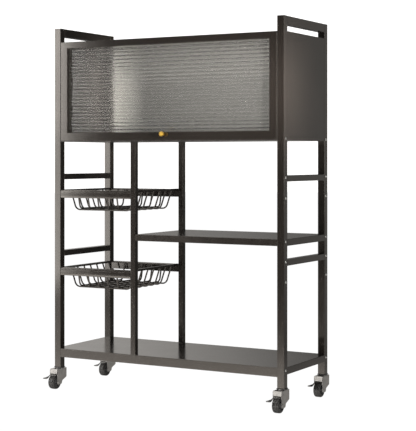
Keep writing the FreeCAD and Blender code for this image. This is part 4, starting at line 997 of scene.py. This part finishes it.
def studio_mesh(name, rows, mat, closed):
    bm = bmesh.new()
    rings = [[bm.verts.new(v) for v in row] for row in rows]
    n = len(rings[0])
    for a, b in zip(rings, rings[1:]):
        for k in range(n):
            q = (k + 1) % n
            bm.faces.new((a[k], a[q], b[q], b[k]))
    if closed:
        bm.faces.new(rings[0])
    bmesh.ops.recalc_face_normals(bm, faces=bm.faces)
    me = bpy.data.meshes.new(name)
    bm.to_mesh(me)
    bm.free()
    for p in me.polygons:
        p.use_smooth = not closed
    ob = bpy.data.objects.new(name, me)
    scene.collection.objects.link(ob)
    me.materials.append(mat)
    ob.visible_glossy = False
    ob.visible_diffuse = False
    return ob


def circle_row(r, z, n=96):
    return [Vector((r * math.cos(2 * math.pi * k / n), r * math.sin(2 * math.pi * k / n), z)) for k in range(n)]


R_ROOM = 26.0
studio_mesh("studio_floor", [circle_row(r, 0.0) for r in (2.0, 8.0, R_ROOM)], stage_material("studio_floor_paper", 0.99, 0.06), True)
studio_mesh("studio_backdrop", [circle_row(R_ROOM * math.cos(a), R_ROOM * math.sin(a)) for a in [math.radians(v) for v in range(0, 90, 6)]] + [circle_row(0.5, R_ROOM)],
            stage_material("studio_backdrop_paper", 1.0, 0.5), False)

world = bpy.data.worlds.new("studio")
scene.world = world
world.use_nodes = True
wt = world.node_tree
for n in list(wt.nodes):
    wt.nodes.remove(n)
w_out = wt.nodes.new("ShaderNodeOutputWorld")
w_bg = wt.nodes.new("ShaderNodeBackground")
wt.links.new(w_bg.outputs["Background"], w_out.inputs["Surface"])
w_dir = wt.nodes.new("ShaderNodeTexCoord").outputs["Generated"]


def lobe(direction, inner, outer, level):
    """Soft patch of light round a direction: full inside the inner angle, none past the outer one."""
    d = Vector(direction).normalized()
    dot = wt.nodes.new("ShaderNodeVectorMath")
    dot.operation = "DOT_PRODUCT"
    wt.links.new(w_dir, dot.inputs[0])
    dot.inputs[1].default_value = d
    return spread(wt, dot.outputs["Value"], math.cos(math.radians(outer)), math.cos(math.radians(inner)), 0.0, level, smooth=True)


def azel(az, el):
    """Direction by compass about the object: 0 is straight behind it (+Y), 90 to its right (+X)."""
    a, e = math.radians(az), math.radians(el)
    return (math.sin(a) * math.cos(e), math.cos(a) * math.cos(e), math.sin(e))


def below(start, full, level):
    """Light from the pale floor in front, for directions steeper down than start (z of the direction)."""
    sep = wt.nodes.new("ShaderNodeSeparateXYZ")
    wt.links.new(w_dir, sep.inputs["Vector"])
    glow = spread(wt, sep.outputs["Z"], start, full, 0.0, level, smooth=True)
    steep = spread(wt, sep.outputs["Z"], -0.42, -0.22, 0.35, 1.0, smooth=True)
    front = spread(wt, sep.outputs["Y"], -0.25, 0.25, 1.0, 0.14, smooth=True)
    return calc(wt, calc(wt, glow, steep, "MULTIPLY"), front, "MULTIPLY")


total = None
for part in (lobe(azel(-45, 22), 12, 25.5, 0.8), lobe(azel(-26, 2), 2, 6, 0.12), lobe(azel(18, 1), 8.5, 13.5, 0.30), lobe((0, 0, 1), 10, 70, 0.22),
             lobe(azel(-139.5, -8), 3, 7.5, 1.0), lobe(azel(-138, 42), 4, 13, 5.0), lobe(azel(-12, -24), 8, 22, 0.8), lobe(azel(66, -16), 10, 24, 0.7), below(-0.150, -0.174, 2.6)):
    total = part if total is None else calc(wt, total, part)
total = calc(wt, total, 0.070)
wt.links.new(total, w_bg.inputs["Strength"])
w_bg.inputs["Color"].default_value = (1.0, 0.965, 0.92, 1)


def area(name, loc, target, w, h, power, color=(1.0, 0.97, 0.935), spread=180):
    ld = bpy.data.lights.new(name, "AREA")
    ld.shape = "RECTANGLE"
    ld.size, ld.size_y = w, h
    ld.energy = power
    ld.color = color
    ld.spread = math.radians(spread)
    ob = bpy.data.objects.new(name, ld)
    scene.collection.objects.link(ob)
    ob.visible_camera = False
    ob.visible_transmission = False
    ob.location = loc
    ob.rotation_euler = (Vector(target) - Vector(loc)).to_track_quat("-Z", "Y").to_euler()
    return ob


area("softbox_left", (-3.18, -2.41, 1.40), (0, 0, 0.95), 2.0, 0.9, 34, (1.0, 0.985, 0.965))
area("softbox_left_low", (-3.18, -2.41, 0.47), (0, 0, 0.47), 2.0, 0.94, 24, (1.0, 0.985, 0.965))
area("panel_right", (3.7, -1.45, 1.1), (-0.35, 0.15, 1.05), 1.2, 1.2, 42)
area("overhead", (0.2, -0.6, 4.2), (0, 0, 0), 4.0, 4.0, 50)
# gridded lamps that light the back of the cabinet through the panel, and have no mirror image in the paint
for lamp in (area("floor_lamp", (0.0, -1.38, 0.03), (0, 0.2, 1.16), 2.4, 0.18, 50),
             area("front_lamp", (-1.78, -3.2, 1.02), (0.1, 0.19, 1.02), 0.18, 0.3, 5.0),
             area("side_lamp", (3.55, -1.56, 1.04), (-0.40, 0.19, 1.04), 0.27, 0.27, 2.5, spread=7)):
    lamp.visible_glossy = False
